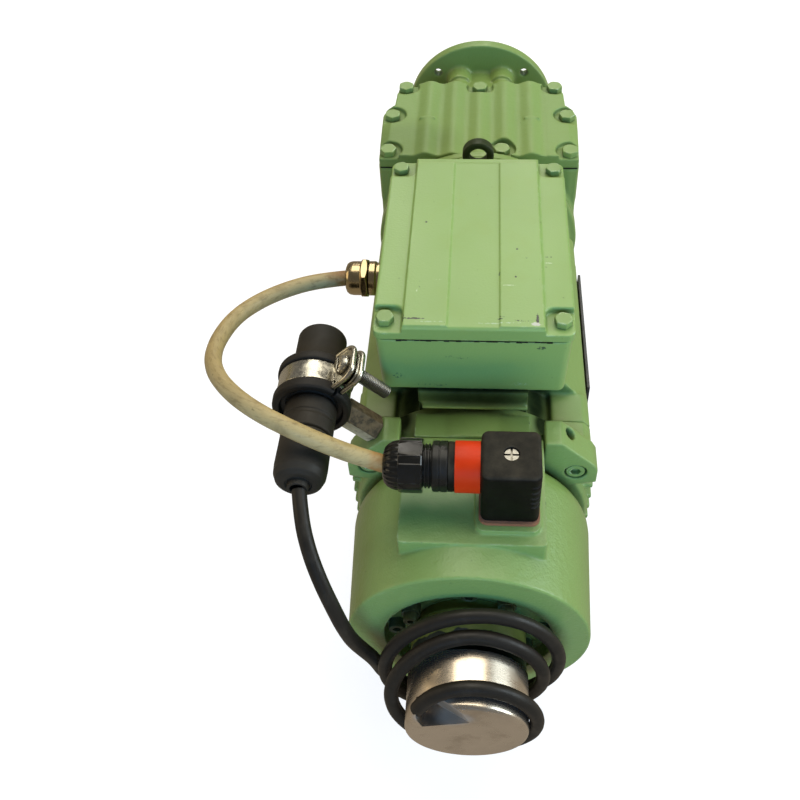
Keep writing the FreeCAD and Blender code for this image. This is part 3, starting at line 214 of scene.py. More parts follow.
def paint(name, base=GREEN, peel=0.00010, cast=0.0, rough=0.40, grime_and_crevice_shade=0.55, chip_and_edge_highlight=0.35, marks=(), dots=0.25, painted_gap_shade=0.0, painted_shades=(), gloss=0.10):
    g = Nodes(name)
    big, mid = g.noise(7.0, 3.0), g.noise(48.0, 4.0, 0.6)
    c = g.mix(g.ramp(big, 0.30, 0.72), shade(base, 0.94), shade(base, 1.04))
    yellowed = (base[0] * 1.02, base[1] * 0.95, base[2] * 0.84)
    c = g.mix(g.ramp(mid, 0.52, 0.78, 0.0, 0.40), c, yellowed)
    specks = g.ramp(g.noise(420.0, 2.0, 0.5), 0.735, 0.775, 0.0, dots)
    c = g.mix(specks, c, shade(base, 0.35))
    # Crevices found by ambient occlusion darken: noise-mottled grime plus painted crevice shade; dirt below carries
    # both.
    ao = g.cavity(0.007)
    dirt = g.mul(g.ramp(ao, 0.80, 0.30), g.ramp(g.noise(90.0, 4.0, 0.6), 0.25, 0.70, 0.35, 1.0), grime_and_crevice_shade)
    c = g.mix(dirt, c, (0.045, 0.055, 0.026))
    # Painted shade: a wide occlusion test darkens deep gaps between parts, such as under the terminal box, towards near
    # black.
    if painted_gap_shade:
        c = g.mix(g.ramp(g.cavity(0.030), 0.62, 0.12, 0.0, painted_gap_shade), c, (0.010, 0.014, 0.006))
    # Convex edges: pale worn paint that also serves as a painted edge highlight, and dark chips.
    wear = g.edges(ao)
    pale_edge_wear_and_highlight = g.mul(wear, g.ramp(g.noise(150.0, 3.0, 0.6), 0.50, 0.62), chip_and_edge_highlight)
    c = g.mix(pale_edge_wear_and_highlight, c, (0.58, 0.68, 0.46))
    dark = g.mul(wear, g.ramp(g.noise(230.0, 4.0, 0.62, distort=0.3), 0.635, 0.665), min(1.0, 2.2 * chip_and_edge_highlight))
    c = g.mix(dark, c, (0.040, 0.042, 0.036))
    for centre, size, cut, colour in marks:
        near = g.blob(centre, size)
        m = g.math("ADD", g.math("MULTIPLY", near, 0.40), g.noise(850.0, 3.0, 0.65, distort=0.4))
        c = g.mix(g.mul(g.ramp(m, cut, cut + 0.06), g.ramp(near, 0.0, 0.15)), c, colour)
    painted_shade_mask = None
    # Painted shade: soft near-black patches where shadows fall under and between parts; there the paint also loses its
    # sheen.
    for centre, size, amount in painted_shades:
        m = g.mul(g.blob(centre, size), g.ramp(g.noise(70.0, 4.0, 0.6), 0.25, 0.60, 0.86, 1.0), amount)
        c = g.mix(m, c, (0.006, 0.012, 0.005))
        painted_shade_mask = m if painted_shade_mask is None else g.math("MAXIMUM", painted_shade_mask, m)
    r = g.math("ADD", g.ramp(mid, 0.3, 0.8, rough - 0.05, rough + 0.08), g.mul(dirt, 0.3))
    nrm = g.bump(g.noise(900.0, 2.0, 0.5), peel)
    if cast:
        nrm = g.bump(g.noise(230.0, 3.0, 0.55), cast, normal=nrm)
    nrm = g.bump(g.math("SUBTRACT", 1.0, dark), 0.00012, normal=nrm)
    g.set(Base_Color=c, Roughness=r, Normal=nrm)
    g.bsdf.inputs["IOR"].default_value = 1.45
    g.bsdf.inputs["Coat Weight"].default_value = gloss
    if painted_shade_mask is not None:
        g.set(Specular_IOR_Level=g.ramp(painted_shade_mask, 0.0, 1.0, 0.5, 0.02), Coat_Weight=g.ramp(painted_shade_mask, 0.0, 1.0, gloss, 0.0))
    g.bsdf.inputs["Coat Roughness"].default_value = 0.20
    return g.mat


def plastic(name, base, rough=0.42, grain=0.00004, dust=0.18, dusty=(0.16, 0.145, 0.12), wear=0.35, shine=0.4, edge=0.0010):
    g = Nodes(name)
    big = g.noise(22.0, 3.0)
    c = g.mix(g.ramp(big, 0.3, 0.7), shade(base, 0.85), shade(base, 1.2))
    geo = g.add("ShaderNodeNewGeometry")
    up = g.ramp(g.xyz(geo.outputs["Normal"])[2], 0.15, 0.85, 0.12, 1.0)
    film = g.mul(g.ramp(g.noise(65.0, 5.0, 0.65), 0.20, 0.75), dust, up)
    c = g.mix(film, c, dusty)
    specks = g.mul(g.ramp(g.noise(800.0, 2.0), 0.74, 0.79, 0.0, min(0.22, dust)), up)
    c = g.mix(specks, c, dusty)
    worn = g.mul(g.edges(g.cavity(0.004), edge), g.ramp(g.noise(180.0, 3.0), 0.45, 0.7), wear)
    c = g.mix(worn, c, shade(dusty, 1.2))
    r = g.math("ADD", g.ramp(g.noise(120.0, 3.0), 0.3, 0.7, rough - 0.06, rough + 0.08), g.mul(film, 0.8))
    g.set(Base_Color=c, Roughness=r, Normal=g.bump(g.noise(1900.0, 2.0), grain))
    g.bsdf.inputs["IOR"].default_value = 1.45
    g.bsdf.inputs["Specular IOR Level"].default_value = shine
    return g.mat


def metal(name, base, rough=0.3, scratch=0.00002, tarnish=(0.20, 0.17, 0.12), age=0.4, streak=None, dents=0.0, size=110.0):
    g = Nodes(name)
    c = g.mix(g.ramp(g.noise(38.0, 5.0, 0.62), 0.35, 0.72), shade(base, 1.04), shade(base, 0.86))
    spots = g.mul(g.ramp(g.noise(120.0, 5.0, 0.65), 0.58, 0.78), age)
    c = g.mix(spots, c, tarnish)
    corner = g.mul(g.ramp(g.cavity(0.003), 0.75, 0.35), min(1.0, 0.5 + age))
    c = g.mix(corner, c, shade(tarnish, 0.5))
    fine = g.noise(1.0, 2.0, vec=g.stretch(*(streak or (700.0, 700.0, 700.0))))
    r = g.math("ADD", g.ramp(fine, 0.25, 0.75, rough - 0.05, rough + 0.06), g.mul(spots, 0.30))
    nrm = g.bump(fine, scratch)
    if dents:
        nrm = g.bump(g.noise(size, 1.0, 0.4), dents, normal=nrm)
    g.set(Base_Color=c, Roughness=r, Normal=nrm)
    g.bsdf.inputs["Metallic"].default_value = 1.0
    return g.mat


def turned(name, base, rough, tarnish, pocket):
    """Metal turned about the motor's axis: the highlights run out along the axis. The pocket is left as cast."""
    g = Nodes(name)
    c = g.mix(g.ramp(g.noise(24.0, 4.0, 0.6), 0.35, 0.72), shade(base, 1.06), shade(base, 0.86))
    film = g.mul(g.ramp(g.noise(75.0, 5.0, 0.62), 0.48, 0.78), 0.55)
    c = g.mix(film, c, tarnish)
    lines = g.noise(1.0, 2.0, vec=g.stretch(20.0, 1500.0, 20.0))
    cast = g.blob(*pocket)
    c = g.mix(cast, c, (0.30, 0.25, 0.185))
    r = g.math("ADD", g.ramp(lines, 0.25, 0.75, rough - 0.015, rough + 0.02), g.math("ADD", g.mul(film, 0.25), g.mul(cast, 0.2)))
    g.set(Base_Color=c, Roughness=r, Metallic=g.ramp(cast, 0.0, 0.5, 0.94, 0.55), Normal=g.bump(g.noise(45.0, 2.0), 0.00010))
    tan = g.add("ShaderNodeTangent", direction_type="RADIAL", axis="Y")
    g.put(g.bsdf.inputs["Tangent"], tan.outputs[0])
    g.bsdf.inputs["Anisotropic"].default_value = 0.25
    return g.mat


def oversprayed(name, metal_base, paint_base, y0):
    """Dark metal with the casting's paint on its rear end."""
    g = Nodes(name)
    x, y, z = g.xyz()
    edge = g.math("ADD", y, g.ramp(g.noise(120.0, 3.0), 0.2, 0.8, -0.0015, 0.0015))
    over = g.ramp(edge, y0 - 0.0004, y0 + 0.0004)
    mottle = g.noise(60.0, 4.0, 0.6)
    bare = g.mix(g.ramp(mottle, 0.3, 0.7), shade(metal_base, 0.8), shade(metal_base, 1.3))
    coat = g.mix(g.ramp(mottle, 0.3, 0.7), shade(paint_base, 0.85), shade(paint_base, 1.1))
    g.set(Base_Color=g.mix(over, bare, coat), Metallic=g.ramp(over, 0.0, 1.0, 1.0, 0.0), Roughness=g.ramp(mottle, 0.3, 0.7, 0.34, 0.46),
          Normal=g.bump(g.noise(700.0, 2.0), 0.00004))
    return g.mat


BLACK_CHIP, WHITE_CHIP, SCRATCH, PALE_LINE = (0.016, 0.018, 0.012), (0.50, 0.49, 0.38), (0.46, 0.56, 0.30), (0.34, 0.46, 0.26)
M = {}
M["paint"] = paint("paint_casting", peel=0.00013, cast=0.00028, chip_and_edge_highlight=0.45, dots=0.4, gloss=0.2)
# Painted shadow under the terminal box on the pedestal's near face and painted shade in the gaps beside the pedestal; a
# strong wide occlusion darkening paints shade into the deep gaps.
M["paint_motor"] = paint("paint_motor", peel=0.00010, cast=0.00015, chip_and_edge_highlight=0.30, painted_gap_shade=0.92, painted_shades=[
    (P(0.0, 146.0, 71.5), (0.060, 0.0085, 0.016), 0.95),
    (P(0.0, 146.0, 72.5), (0.060, 0.0085, 0.014), 0.95),
    (P(-34.0, 156.0, 58.0), (0.0115, 0.026, 0.024), 0.97),
    (P(34.5, 156.0, 58.0), (0.0105, 0.026, 0.024), 0.97),
])
# Painted shade in the gaps beside the ears, plus a light wide occlusion darkening of deep gaps.
M["paint_rear"] = paint("paint_rear_shield", peel=0.00010, cast=0.00040, chip_and_edge_highlight=0.50, dots=0.5, painted_gap_shade=0.25, gloss=0.2, painted_shades=[
    (P(-37.0, 141.0, 53.0), (0.0075, 0.012, 0.022), 0.95),
    (P(36.5, 141.0, 53.0), (0.0065, 0.012, 0.022), 0.95),
])
M["paint_brake"] = paint("paint_brake_cover", peel=0.00016, cast=0.00038, chip_and_edge_highlight=0.50, grime_and_crevice_shade=0.28, dots=0.5, gloss=0.14)
# A faint painted shade patch over the cover's left near part.
M["paint_cover"] = paint("paint_gear_cover", peel=0.00010, cast=0.00018, rough=0.50, gloss=0.03, chip_and_edge_highlight=0.45, dots=0.5, marks=[
    (P(-58.5, 388.0, 60.0), (0.0040, 0.0140, 0.0080), 0.80, BLACK_CHIP),
], painted_shades=[
    (P(-48.0, 372.0, 67.0), (0.045, 0.030, 0.02), 0.22),
])
M["paint_box"] = paint("paint_box", base=PALE, peel=0.00009, cast=0.00005, chip_and_edge_highlight=0.45, grime_and_crevice_shade=0.5, gloss=0.2, marks=[
    (P(-38.0, 143.0, 86.0), (0.0080, 0.0030, 0.0050), 0.92, (0.055, 0.085, 0.040)),
    (P(33.0, 143.0, 109.0), (0.0040, 0.0030, 0.0022), 0.86, (0.045, 0.070, 0.035)),
    (P(-8.0, 143.0, 101.0), (0.0200, 0.0030, 0.0035), 1.00, (0.055, 0.085, 0.040)),
    (P(24.0, 143.0, 81.5), (0.0140, 0.0030, 0.0030), 0.94, PALE_LINE),
    (P(-22.0, 143.0, 79.5), (0.0220, 0.0030, 0.0025), 0.94, (0.055, 0.085, 0.040)),
])
M["paint_lid"] = paint("paint_lid", base=PALE, peel=0.00008, chip_and_edge_highlight=0.6, grime_and_crevice_shade=0.6, dots=0.5, gloss=0.2, marks=[
    (P(-34.2, 149.6, 123.0), (0.0009, 0.0058, 0.0020), 0.74, BLACK_CHIP),
    (P(-29.0, 148.9, 123.0), (0.0075, 0.0009, 0.0014), 0.74, BLACK_CHIP),
    (P(12.5, 150.3, 123.0), (0.0034, 0.0022, 0.0014), 0.82, BLACK_CHIP),
    (P(30.4, 149.6, 123.0), (0.0013, 0.0056, 0.0014), 0.76, BLACK_CHIP),
    (P(22.0, 148.4, 123.0), (0.0100, 0.0010, 0.0014), 0.90, BLACK_CHIP),
    (P(29.6, 146.2, 122.8), (0.0036, 0.0016, 0.0016), 0.70, WHITE_CHIP),
    # Pale lines along the lid's near top edge: worn paint and a painted edge highlight.
    (P(14.0, 146.9, 122.6), (0.0230, 0.0009, 0.0014), 0.86, PALE_LINE),
    (P(-22.0, 146.9, 122.6), (0.0160, 0.0009, 0.0014), 0.90, PALE_LINE),
    (P(17.5, 172.5, 123.0), (0.0075, 0.0005, 0.0014), 0.82, SCRATCH),
    (P(37.0, 190.0, 121.9), (0.0032, 0.0006, 0.0014), 0.84, SCRATCH),
    (P(24.0, 192.5, 123.0), (0.0070, 0.0016, 0.0014), 0.98, (0.10, 0.15, 0.05)),
    (P(12.3, 181.0, 123.0), (0.0012, 0.0045, 0.0014), 0.86, (0.10, 0.15, 0.05)),
    (P(21.5, 199.5, 123.0), (0.0012, 0.0016, 0.0014), 0.84, BLACK_CHIP),
    (P(20.5, 178.6, 123.0), (0.0010, 0.0012, 0.0014), 0.84, BLACK_CHIP),
    (P(-26.4, 219.7, 123.0), (0.0010, 0.0014, 0.0014), 0.76, BLACK_CHIP),
    (P(37.6, 194.5, 121.9), (0.0032, 0.0008, 0.0014), 0.90, BLACK_CHIP),
    (P(-16.0, 176.0, 123.0), (0.0120, 0.0006, 0.0014), 0.98, SCRATCH),
    (P(-28.0, 168.0, 123.0), (0.0012, 0.0020, 0.0014), 0.88, SCRATCH),
])
M["paint_screw"] = paint("paint_screw", peel=0.00006, chip_and_edge_highlight=0.9, grime_and_crevice_shade=0.7)
M["paint_dark"] = paint("paint_dark", base=(0.075, 0.105, 0.045), peel=0.00006, chip_and_edge_highlight=0.5, grime_and_crevice_shade=0.8)
M["steel"] = metal("machined_steel", (0.56, 0.55, 0.53), 0.28, streak=(300.0, 2600.0, 300.0), age=0.25)
M["bearing"] = metal("bearing_steel", (0.60, 0.60, 0.60), 0.22, age=0.15)
M["lamination"] = metal("lamination_steel", (0.24, 0.24, 0.25), 0.40, streak=(60.0, 2600.0, 60.0), age=0.4)
M["copper"] = metal("copper_winding", (0.52, 0.20, 0.09), 0.35, streak=(900.0, 900.0, 900.0), age=0.4, tarnish=(0.25, 0.09, 0.04))
M["zinc"] = metal("zinc_plated_steel", (0.52, 0.50, 0.43), 0.27, scratch=0.00002, tarnish=(0.32, 0.29, 0.23), age=0.35, dents=0.0007, size=130.0)
M["screw"] = metal("grey_screw_steel", (0.25, 0.25, 0.24), 0.42, scratch=0.00004, tarnish=(0.14, 0.13, 0.11), age=0.4)
M["nickel"] = metal("nickel_plated_brass", (0.44, 0.35, 0.205), 0.21, tarnish=(0.18, 0.12, 0.06), age=0.35)
M["alu"] = turned("turned_aluminium", (0.64, 0.555, 0.445), 0.26, (0.36, 0.29, 0.21), (P(-11.0, 4.0, 19.0), (0.020, 0.0095, 0.0115)))
M["anodised"] = oversprayed("dark_anodised", (0.040, 0.048, 0.065), (0.15, 0.20, 0.045), P(0.0, 38.0, 0.0).y)
M["bolt"] = metal("slotted_bolt_steel", (0.27, 0.265, 0.24), 0.36, scratch=0.00003, tarnish=(0.20, 0.18, 0.14), age=0.4)
M["plug"] = plastic("moulded_plug", (0.0022, 0.0022, 0.0016), 0.46, dust=0.75, dusty=(0.066, 0.055, 0.037), wear=0.75, shine=0.16, edge=0.0022)
M["nut"] = plastic("moulded_nut", (0.0062, 0.0052, 0.0036), 0.14, grain=0.00001, dust=0.03, wear=0.15, shine=0.42)
M["body"] = plastic("moulded_gland", (0.0080, 0.0070, 0.0050), 0.28, grain=0.00002, dust=0.08, wear=0.2, shine=0.32)
M["rubber"] = plastic("black_rubber", (0.0125, 0.0100, 0.0068), 0.50, grain=0.00006, dust=0.22, dusty=(0.055, 0.046, 0.037), shine=0.28)
M["cap"] = plastic("connector_cap", (0.021, 0.018, 0.013), 0.50, grain=0.00005, dust=0.35, dusty=(0.060, 0.049, 0.034), shine=0.28)
M["connector"] = plastic("connector_shell", (0.0190, 0.0155, 0.0105), 0.46, grain=0.00005, dust=0.25, dusty=(0.058, 0.049, 0.038), shine=0.28)
M["gasket"] = plastic("flat_gasket", (0.010, 0.012, 0.008), 0.70, dust=0.2, dusty=(0.05, 0.06, 0.035))
M["brown"] = plastic("brown_gasket", (0.26, 0.105, 0.050), 0.62, dust=0.2, dusty=(0.35, 0.24, 0.15))
M["lining"] = plastic("friction_lining", (0.15, 0.12, 0.10), 0.75, grain=0.00010, dust=0.3)
M["sleeve"] = plastic("orange_sleeve", (0.58, 0.031, 0.003), 0.36, grain=0.00001, dust=0.10, dusty=(0.50, 0.10, 0.035), wear=0.5, shine=0.2)


def blackened(name, base):
    g = Nodes(name)
    c = g.mix(g.ramp(g.noise(60.0, 4.0, 0.6), 0.3, 0.75), shade(base, 1.25), shade(base, 0.75))
    worn = g.mul(g.edges(g.cavity(0.004), 0.0010), g.ramp(g.noise(160.0, 3.0), 0.45, 0.7), 0.5)
    c = g.mix(worn, c, (0.11, 0.15, 0.06))
    g.set(Base_Color=c, Roughness=g.ramp(g.noise(200.0, 3.0), 0.3, 0.7, 0.42, 0.60), Normal=g.bump(g.noise(420.0, 3.0), 0.00012))
    g.bsdf.inputs["Specular IOR Level"].default_value = 0.25
    return g.mat


M["iron"] = blackened("painted_forging", (0.020, 0.030, 0.008))


def weathered(name):
    """The hexagonal spacer: brown and rough on its upper flat, pale with dark chips on the flats that face the ground."""
    g = Nodes(name)
    geo = g.add("ShaderNodeNewGeometry")
    dot = g.add("ShaderNodeVectorMath", operation="DOT_PRODUCT")
    g.put(dot.inputs[0], geo.outputs["Normal"])
    dot.inputs[1].default_value = (0.7071, 0.0, 0.7071)
    grain = g.noise(300.0, 5.0, 0.7)
    brown = g.mix(g.ramp(grain, 0.36, 0.66), (0.150, 0.102, 0.048), (0.045, 0.032, 0.016))
    pale = g.mix(g.ramp(g.noise(120.0, 4.0, 0.6), 0.3, 0.7), (0.45, 0.37, 0.22), (0.30, 0.25, 0.14))
    chips = g.ramp(g.noise(210.0, 4.0, 0.65), 0.60, 0.66)
    pale = g.mix(chips, pale, (0.06, 0.05, 0.035))
    up = g.math("ADD", dot.outputs["Value"], g.ramp(g.noise(190.0, 4.0, 0.7), 0.2, 0.8, -0.18, 0.18))
    up = g.ramp(up, -0.20, -0.02)
    c = g.mix(up, pale, brown)
    g.set(Base_Color=c, Roughness=g.ramp(grain, 0.3, 0.7, 0.50, 0.72), Normal=g.bump(grain, 0.00022))
    return g.mat


M["spacer"] = weathered("weathered_spacer")


def plate_mat(name):
    """Dark blank plate with a thin bare border."""
    g = Nodes(name)
    x, y, z = g.xyz()
    off_z = g.math("ABSOLUTE", g.math("SUBTRACT", z, 0.0152))
    off_y = g.math("ABSOLUTE", g.math("SUBTRACT", y, (236.0 - 535.7) / 1000.0))
    off = g.math("MAXIMUM", g.math("SUBTRACT", off_z, 0.0193), g.math("SUBTRACT", off_y, 0.0448))
    rim = g.ramp(g.math("ABSOLUTE", off), 0.0007, 0.0004)
    dark = g.mix(g.ramp(g.noise(80.0, 4.0), 0.3, 0.7), (0.020, 0.021, 0.020), (0.040, 0.041, 0.038))
    bare = g.mix(g.ramp(g.noise(160.0, 4.0), 0.3, 0.7), (0.62, 0.61, 0.58), (0.45, 0.44, 0.41))
    g.set(Base_Color=g.mix(rim, dark, bare), Metallic=g.ramp(rim, 0.2, 0.8), Roughness=g.ramp(g.noise(220.0, 3.0), 0.3, 0.7, 0.30, 0.46),
          Normal=g.bump(g.noise(900.0, 2.0), 0.00002))
    return g.mat


M["plate"] = plate_mat("rating_plate_blank")


# ---------------------------------------------------------------- geometry
def link(name, me, mat, body, angle=38.0, replaces=()):
    if angle is not None:
        me.shade_smooth()
        me.set_sharp_from_angle(angle=math.radians(angle))
    o = bpy.data.objects.new(name, me)
    scene.collection.objects.link(o)
    o.data.materials.clear()
    o.data.materials.append(mat)
    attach(o, body)
    if replaces:
        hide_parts(*replaces)
    return o


QUICK_MAT = {}


def fill(bm, *parts):
    """Adds (points, faces) lists to the mesh and turns each shell's faces outwards."""
    for verts, faces in parts:
        vs = [bm.verts.new(v) for v in verts]
        fs = [bm.faces.new([vs[i] for i in f]) for f in faces]
        bmesh.ops.recalc_face_normals(bm, faces=fs)


def lathe(origin, axis, up, loop, n=96, mod=None):
    """A ring: the closed loop of (radius, distance along the axis) in millimetres, turned about the axis. mod changes the radius by angle."""
    a, u = Vector(axis).normalized(), Vector(up).normalized()
    w = a.cross(u)
    o = Vector(origin)
    verts, faces = [], []
    for k, (r, d) in enumerate(loop):
        for i in range(n):
            t = 2.0 * math.pi * i / n
            rr = mod(t, k, r) if mod else r
            q = o + a * d + (u * math.cos(t) + w * math.sin(t)) * rr
            verts.append(P(*q))
    m = len(loop)
    for k in range(m):
        for i in range(n):
            j, l = (i + 1) % n, (k + 1) % m
            faces.append((k * n + i, k * n + j, l * n + j, l * n + i))
    return verts, faces


def rod(path, r, n=12):
    """Round bar with closed ends along the path, in millimetres."""
    verts, faces = [], []
    pts = [Vector(q) for q in path]
    ref = None
    for k, q in enumerate(pts):
        t = (pts[min(k + 1, len(pts) - 1)] - pts[max(k - 1, 0)]).normalized()
        if ref is None:
            ref = t.orthogonal()
        ref = (ref - t * ref.dot(t)).normalized()
        w = t.cross(ref)
        for i in range(n):
            c = 2.0 * math.pi * i / n
            verts.append(P(*(q + (ref * math.cos(c) + w * math.sin(c)) * r)))
    for k in range(len(pts) - 1):
        for i in range(n):
            j = (i + 1) % n
            faces.append((k * n + i, k * n + j, (k + 1) * n + j, (k + 1) * n + i))
    faces.append(tuple(range(n)))
    faces.append(tuple(range((len(pts) - 1) * n, len(pts) * n)))
    return verts, faces


def ball(centre, r, n=10):
    verts, faces = [P(centre[0], centre[1], centre[2] - r)], []
    for k in range(1, n):
        for i in range(n):
            p, t = math.pi * k / n, 2.0 * math.pi * i / n
            verts.append(P(centre[0] + r * math.sin(p) * math.cos(t), centre[1] + r * math.sin(p) * math.sin(t), centre[2] - r * math.cos(p)))
    verts.append(P(centre[0], centre[1], centre[2] + r))
    for i in range(n):
        j = (i + 1) % n
        faces.append((0, 1 + j, 1 + i))
        for k in range(n - 2):
            faces.append((1 + k * n + i, 1 + k * n + j, 1 + (k + 1) * n + j, 1 + (k + 1) * n + i))
        faces.append((len(verts) - 1, 1 + (n - 2) * n + i, 1 + (n - 2) * n + j))
    return verts, faces


def bar(x0, x1, y0, y1, z0, z1):
    verts = [P(x, y, z) for x in (x0, x1) for y in (y0, y1) for z in (z0, z1)]
    return verts, [(0, 1, 3, 2), (4, 6, 7, 5), (0, 4, 5, 1), (2, 3, 7, 6), (0, 2, 6, 4), (1, 5, 7, 3)]


def piece(name, parts, mat, body, replaces=(), angle=38.0):
    bm = bmesh.new()
    fill(bm, *parts)
    me = bpy.data.meshes.new(name)
    bm.to_mesh(me)
    bm.free()
    return link(name, me, mat, body, angle=angle, replaces=replaces)


def soft(node, mat, voxel, smooth=4, ratio=0.2, name=None, angle=None, factor=0.5, extra=()):
    """The node's shape with its edges rounded, as cast or moulded: a fine even mesh, smoothed a little and thinned out where flat."""
    bm = bmesh.new()
    bm.from_mesh(NODES[node].data)
    bmesh.ops.remove_doubles(bm, verts=bm.verts, dist=2e-6)
    fill(bm, *extra)
    me = bpy.data.meshes.new("closed")
    bm.to_mesh(me)
    bm.free()
    tmp = bpy.data.objects.new("closed", me)
    scene.collection.objects.link(tmp)
    m = tmp.modifiers.new("even", "REMESH")
    m.mode, m.voxel_size, m.adaptivity = "VOXEL", voxel, 0.0
    m = tmp.modifiers.new("soften", "SMOOTH")
    m.factor, m.iterations = factor, smooth
    m = tmp.modifiers.new("thin", "DECIMATE")
    m.decimate_type, m.ratio = "COLLAPSE", ratio
    out = bpy.data.meshes.new_from_object(tmp.evaluated_get(bpy.context.evaluated_depsgraph_get()))
    bpy.data.objects.remove(tmp)
    bpy.data.meshes.remove(me)
    out.name = name or node + "_shell"
    return link(out.name, out, mat, BODY[node], angle=angle or 50.0, replaces=(node,))


def curve_cord(name, pts, d, mat, body="housing"):
    cu = bpy.data.curves.new(name, "CURVE")
    cu.dimensions = "3D"
    cu.bevel_depth = d / 2.0
    cu.bevel_resolution = 6
    cu.resolution_u = 6
    cu.use_fill_caps = True
    sp = cu.splines.new("NURBS")
    sp.points.add(len(pts) - 1)
    for q, p in zip(sp.points, pts):
        q.co = (p[0], p[1], p[2], 1.0)
    sp.order_u = 3
    sp.use_endpoint_u = True
    cu.materials.append(mat)
    o = bpy.data.objects.new(name, cu)
    scene.collection.objects.link(o)
    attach(o, body)
    return o


# ------------------------------------------------------------------- cords
def cable_mat(name, base, stain, rough, grain, ends=(), dirt=0.55, loop=None):
    g = Nodes(name)
    c = g.mix(g.ramp(g.noise(30.0, 4.0, 0.6), 0.3, 0.75), shade(base, 1.06), shade(base, 0.86))
    smear = g.ramp(g.noise(1.0, 4.0, 0.6, vec=g.stretch(130.0, 130.0, 60.0)), 0.50, 0.80, 0.0, dirt)
    c = g.mix(smear, c, stain)
    if loop:
        x, y, z = g.xyz()
        dx, dy = g.math("SUBTRACT", x, loop[0]), g.math("SUBTRACT", y, loop[1])
        reach = g.math("SQRT", g.math("ADD", g.mul(dx, dx), g.mul(dy, dy)))
        turn = g.add("ShaderNodeCombineXYZ")
        g.put(turn.inputs[0], g.math("MULTIPLY", reach, 700.0))
        g.put(turn.inputs[1], g.math("MULTIPLY", z, 700.0))
        g.put(turn.inputs[2], g.math("MULTIPLY", g.math("ARCTAN2", dy, dx), 7.0))
        c = g.mix(g.ramp(g.noise(1.0, 4.0, 0.65, vec=turn.outputs[0]), 0.50, 0.68, 0.0, 0.55), c, stain)
        c = g.mix(g.ramp(g.noise(1.9, 3.0, 0.6, vec=turn.outputs[0]), 0.60, 0.72, 0.0, 0.45), c, shade(base, 1.35))
    spots = g.ramp(g.noise(330.0, 3.0, 0.6), 0.66, 0.74, 0.0, dirt)
    c = g.mix(spots, c, shade(stain, 0.6))
    for centre, size, colour in ends:
        m = g.mul(g.blob(centre, size), g.ramp(g.noise(260.0, 3.0), 0.25, 0.7, 0.35, 1.0))
        c = g.mix(m, c, colour)
    r = g.ramp(g.noise(150.0, 3.0), 0.3, 0.7, rough - 0.05, rough + 0.1)
    nrm = g.bump(g.noise(1300.0, 2.0), grain)
    nrm = g.bump(g.noise(170.0, 2.0), grain * 3.0, normal=nrm)
    g.set(Base_Color=c, Roughness=r, Normal=nrm)
    g.bsdf.inputs["Specular IOR Level"].default_value = 0.28
    return g.mat


M["grey_cable"] = cable_mat("cable_beige", (0.395, 0.290, 0.122), (0.180, 0.124, 0.048), 0.40, 0.00003, loop=P(-82.0, 147.0, 100.0), ends=[
    (P(-72.0, 206.3, 94.0), (0.013, 0.012, 0.010), (0.22, 0.085, 0.015)),
    (P(-43.5, 88.6, 89.0), (0.007, 0.010, 0.010), (0.34, 0.15, 0.04)),
    (P(-100.0, 98.0, 112.0), (0.030, 0.012, 0.004), (0.20, 0.16, 0.09)),
])
M["black_cable"] = cable_mat("cable_black", (0.0150, 0.0120, 0.0085), (0.036, 0.029, 0.020), 0.44, 0.00003)

GREY = [(-69.9, 206.3, 94.0), (-85.0, 202.8, 95.1), (-100.7, 193.6, 97.3), (-113.5, 181.1, 100.2), (-122.5, 166.1, 103.5),
        (-126.7, 148.4, 106.5), (-125.8, 131.8, 110.4), (-119.8, 117.5, 114.1), (-108.7, 104.5, 116.2), (-94.8, 94.9, 115.4),
        (-79.3, 89.2, 111.3), (-65.3, 87.4, 103.7), (-52.4, 87.9, 95.0), (-39.4, 88.6, 88.0)]
grey = curve_cord("brake_cable", [P(*q) for q in GREY], 0.0084, M["grey_cable"])
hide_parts("brake_lead")

BLACK = [(-77.8, 73.8, 87.1), (-75.5, 61.0, 83.4), (-71.1, 48.5, 76.8), (-65.7, 39.0, 67.1), (-60.4, 32.9, 54.0),
         (-57.2, 30.8, 41.0), (-54.4, 31.4, 26.6), (-50.2, 33.2, 12.4)]
# turns round the encoder: angle in degrees, radius and y at the places where they change
TURN = [(182, 46.0, 35.2), (225, 46.2, 36.4), (270, 45.4, 37.0), (320, 45.0, 36.6), (365, 44.7, 36.8), (405, 44.8, 38.4), (440, 44.0, 38.2),
        (480, 42.4, 34.6), (512, 41.4, 31.0), (537, 40.8, 28.6), (580, 40.2, 28.4), (630, 39.2, 29.0), (680, 37.6, 29.0), (724, 36.8, 28.9),
        (770, 36.2, 30.4), (810, 36.2, 31.0), (850, 36.6, 25.4), (895, 37.0, 17.0), (940, 36.0, 11.6), (990, 34.6, 8.8), (1040, 33.4, 7.4),
        (1084, 33.2, 7.0), (1120, 33.4, 8.0), (1156, 33.8, 8.6), (1180, 33.3, 7.8), (1200, 31.9, 6.4), (1214, 29.6, 5.4), (1226, 27.2, 5.0)]


def along(table, t):
    """Smooth value through the table's rows at t."""
    k = max(i for i in range(len(table) - 1) if table[i][0] <= t)
    p = [table[max(0, min(len(table) - 1, k + j))] for j in (-1, 0, 1, 2)]
    h = p[2][0] - p[1][0]
    u = (t - p[1][0]) / h
    out = []
    for c in (1, 2):
        m0 = (p[2][c] - p[0][c]) / max(1e-9, p[2][0] - p[0][0]) * h
        m1 = (p[3][c] - p[1][c]) / max(1e-9, p[3][0] - p[1][0]) * h
        out.append((2 * u ** 3 - 3 * u ** 2 + 1) * p[1][c] + (u ** 3 - 2 * u ** 2 + u) * m0
                   + (-2 * u ** 3 + 3 * u ** 2) * p[2][c] + (u ** 3 - u ** 2) * m1)
    return out


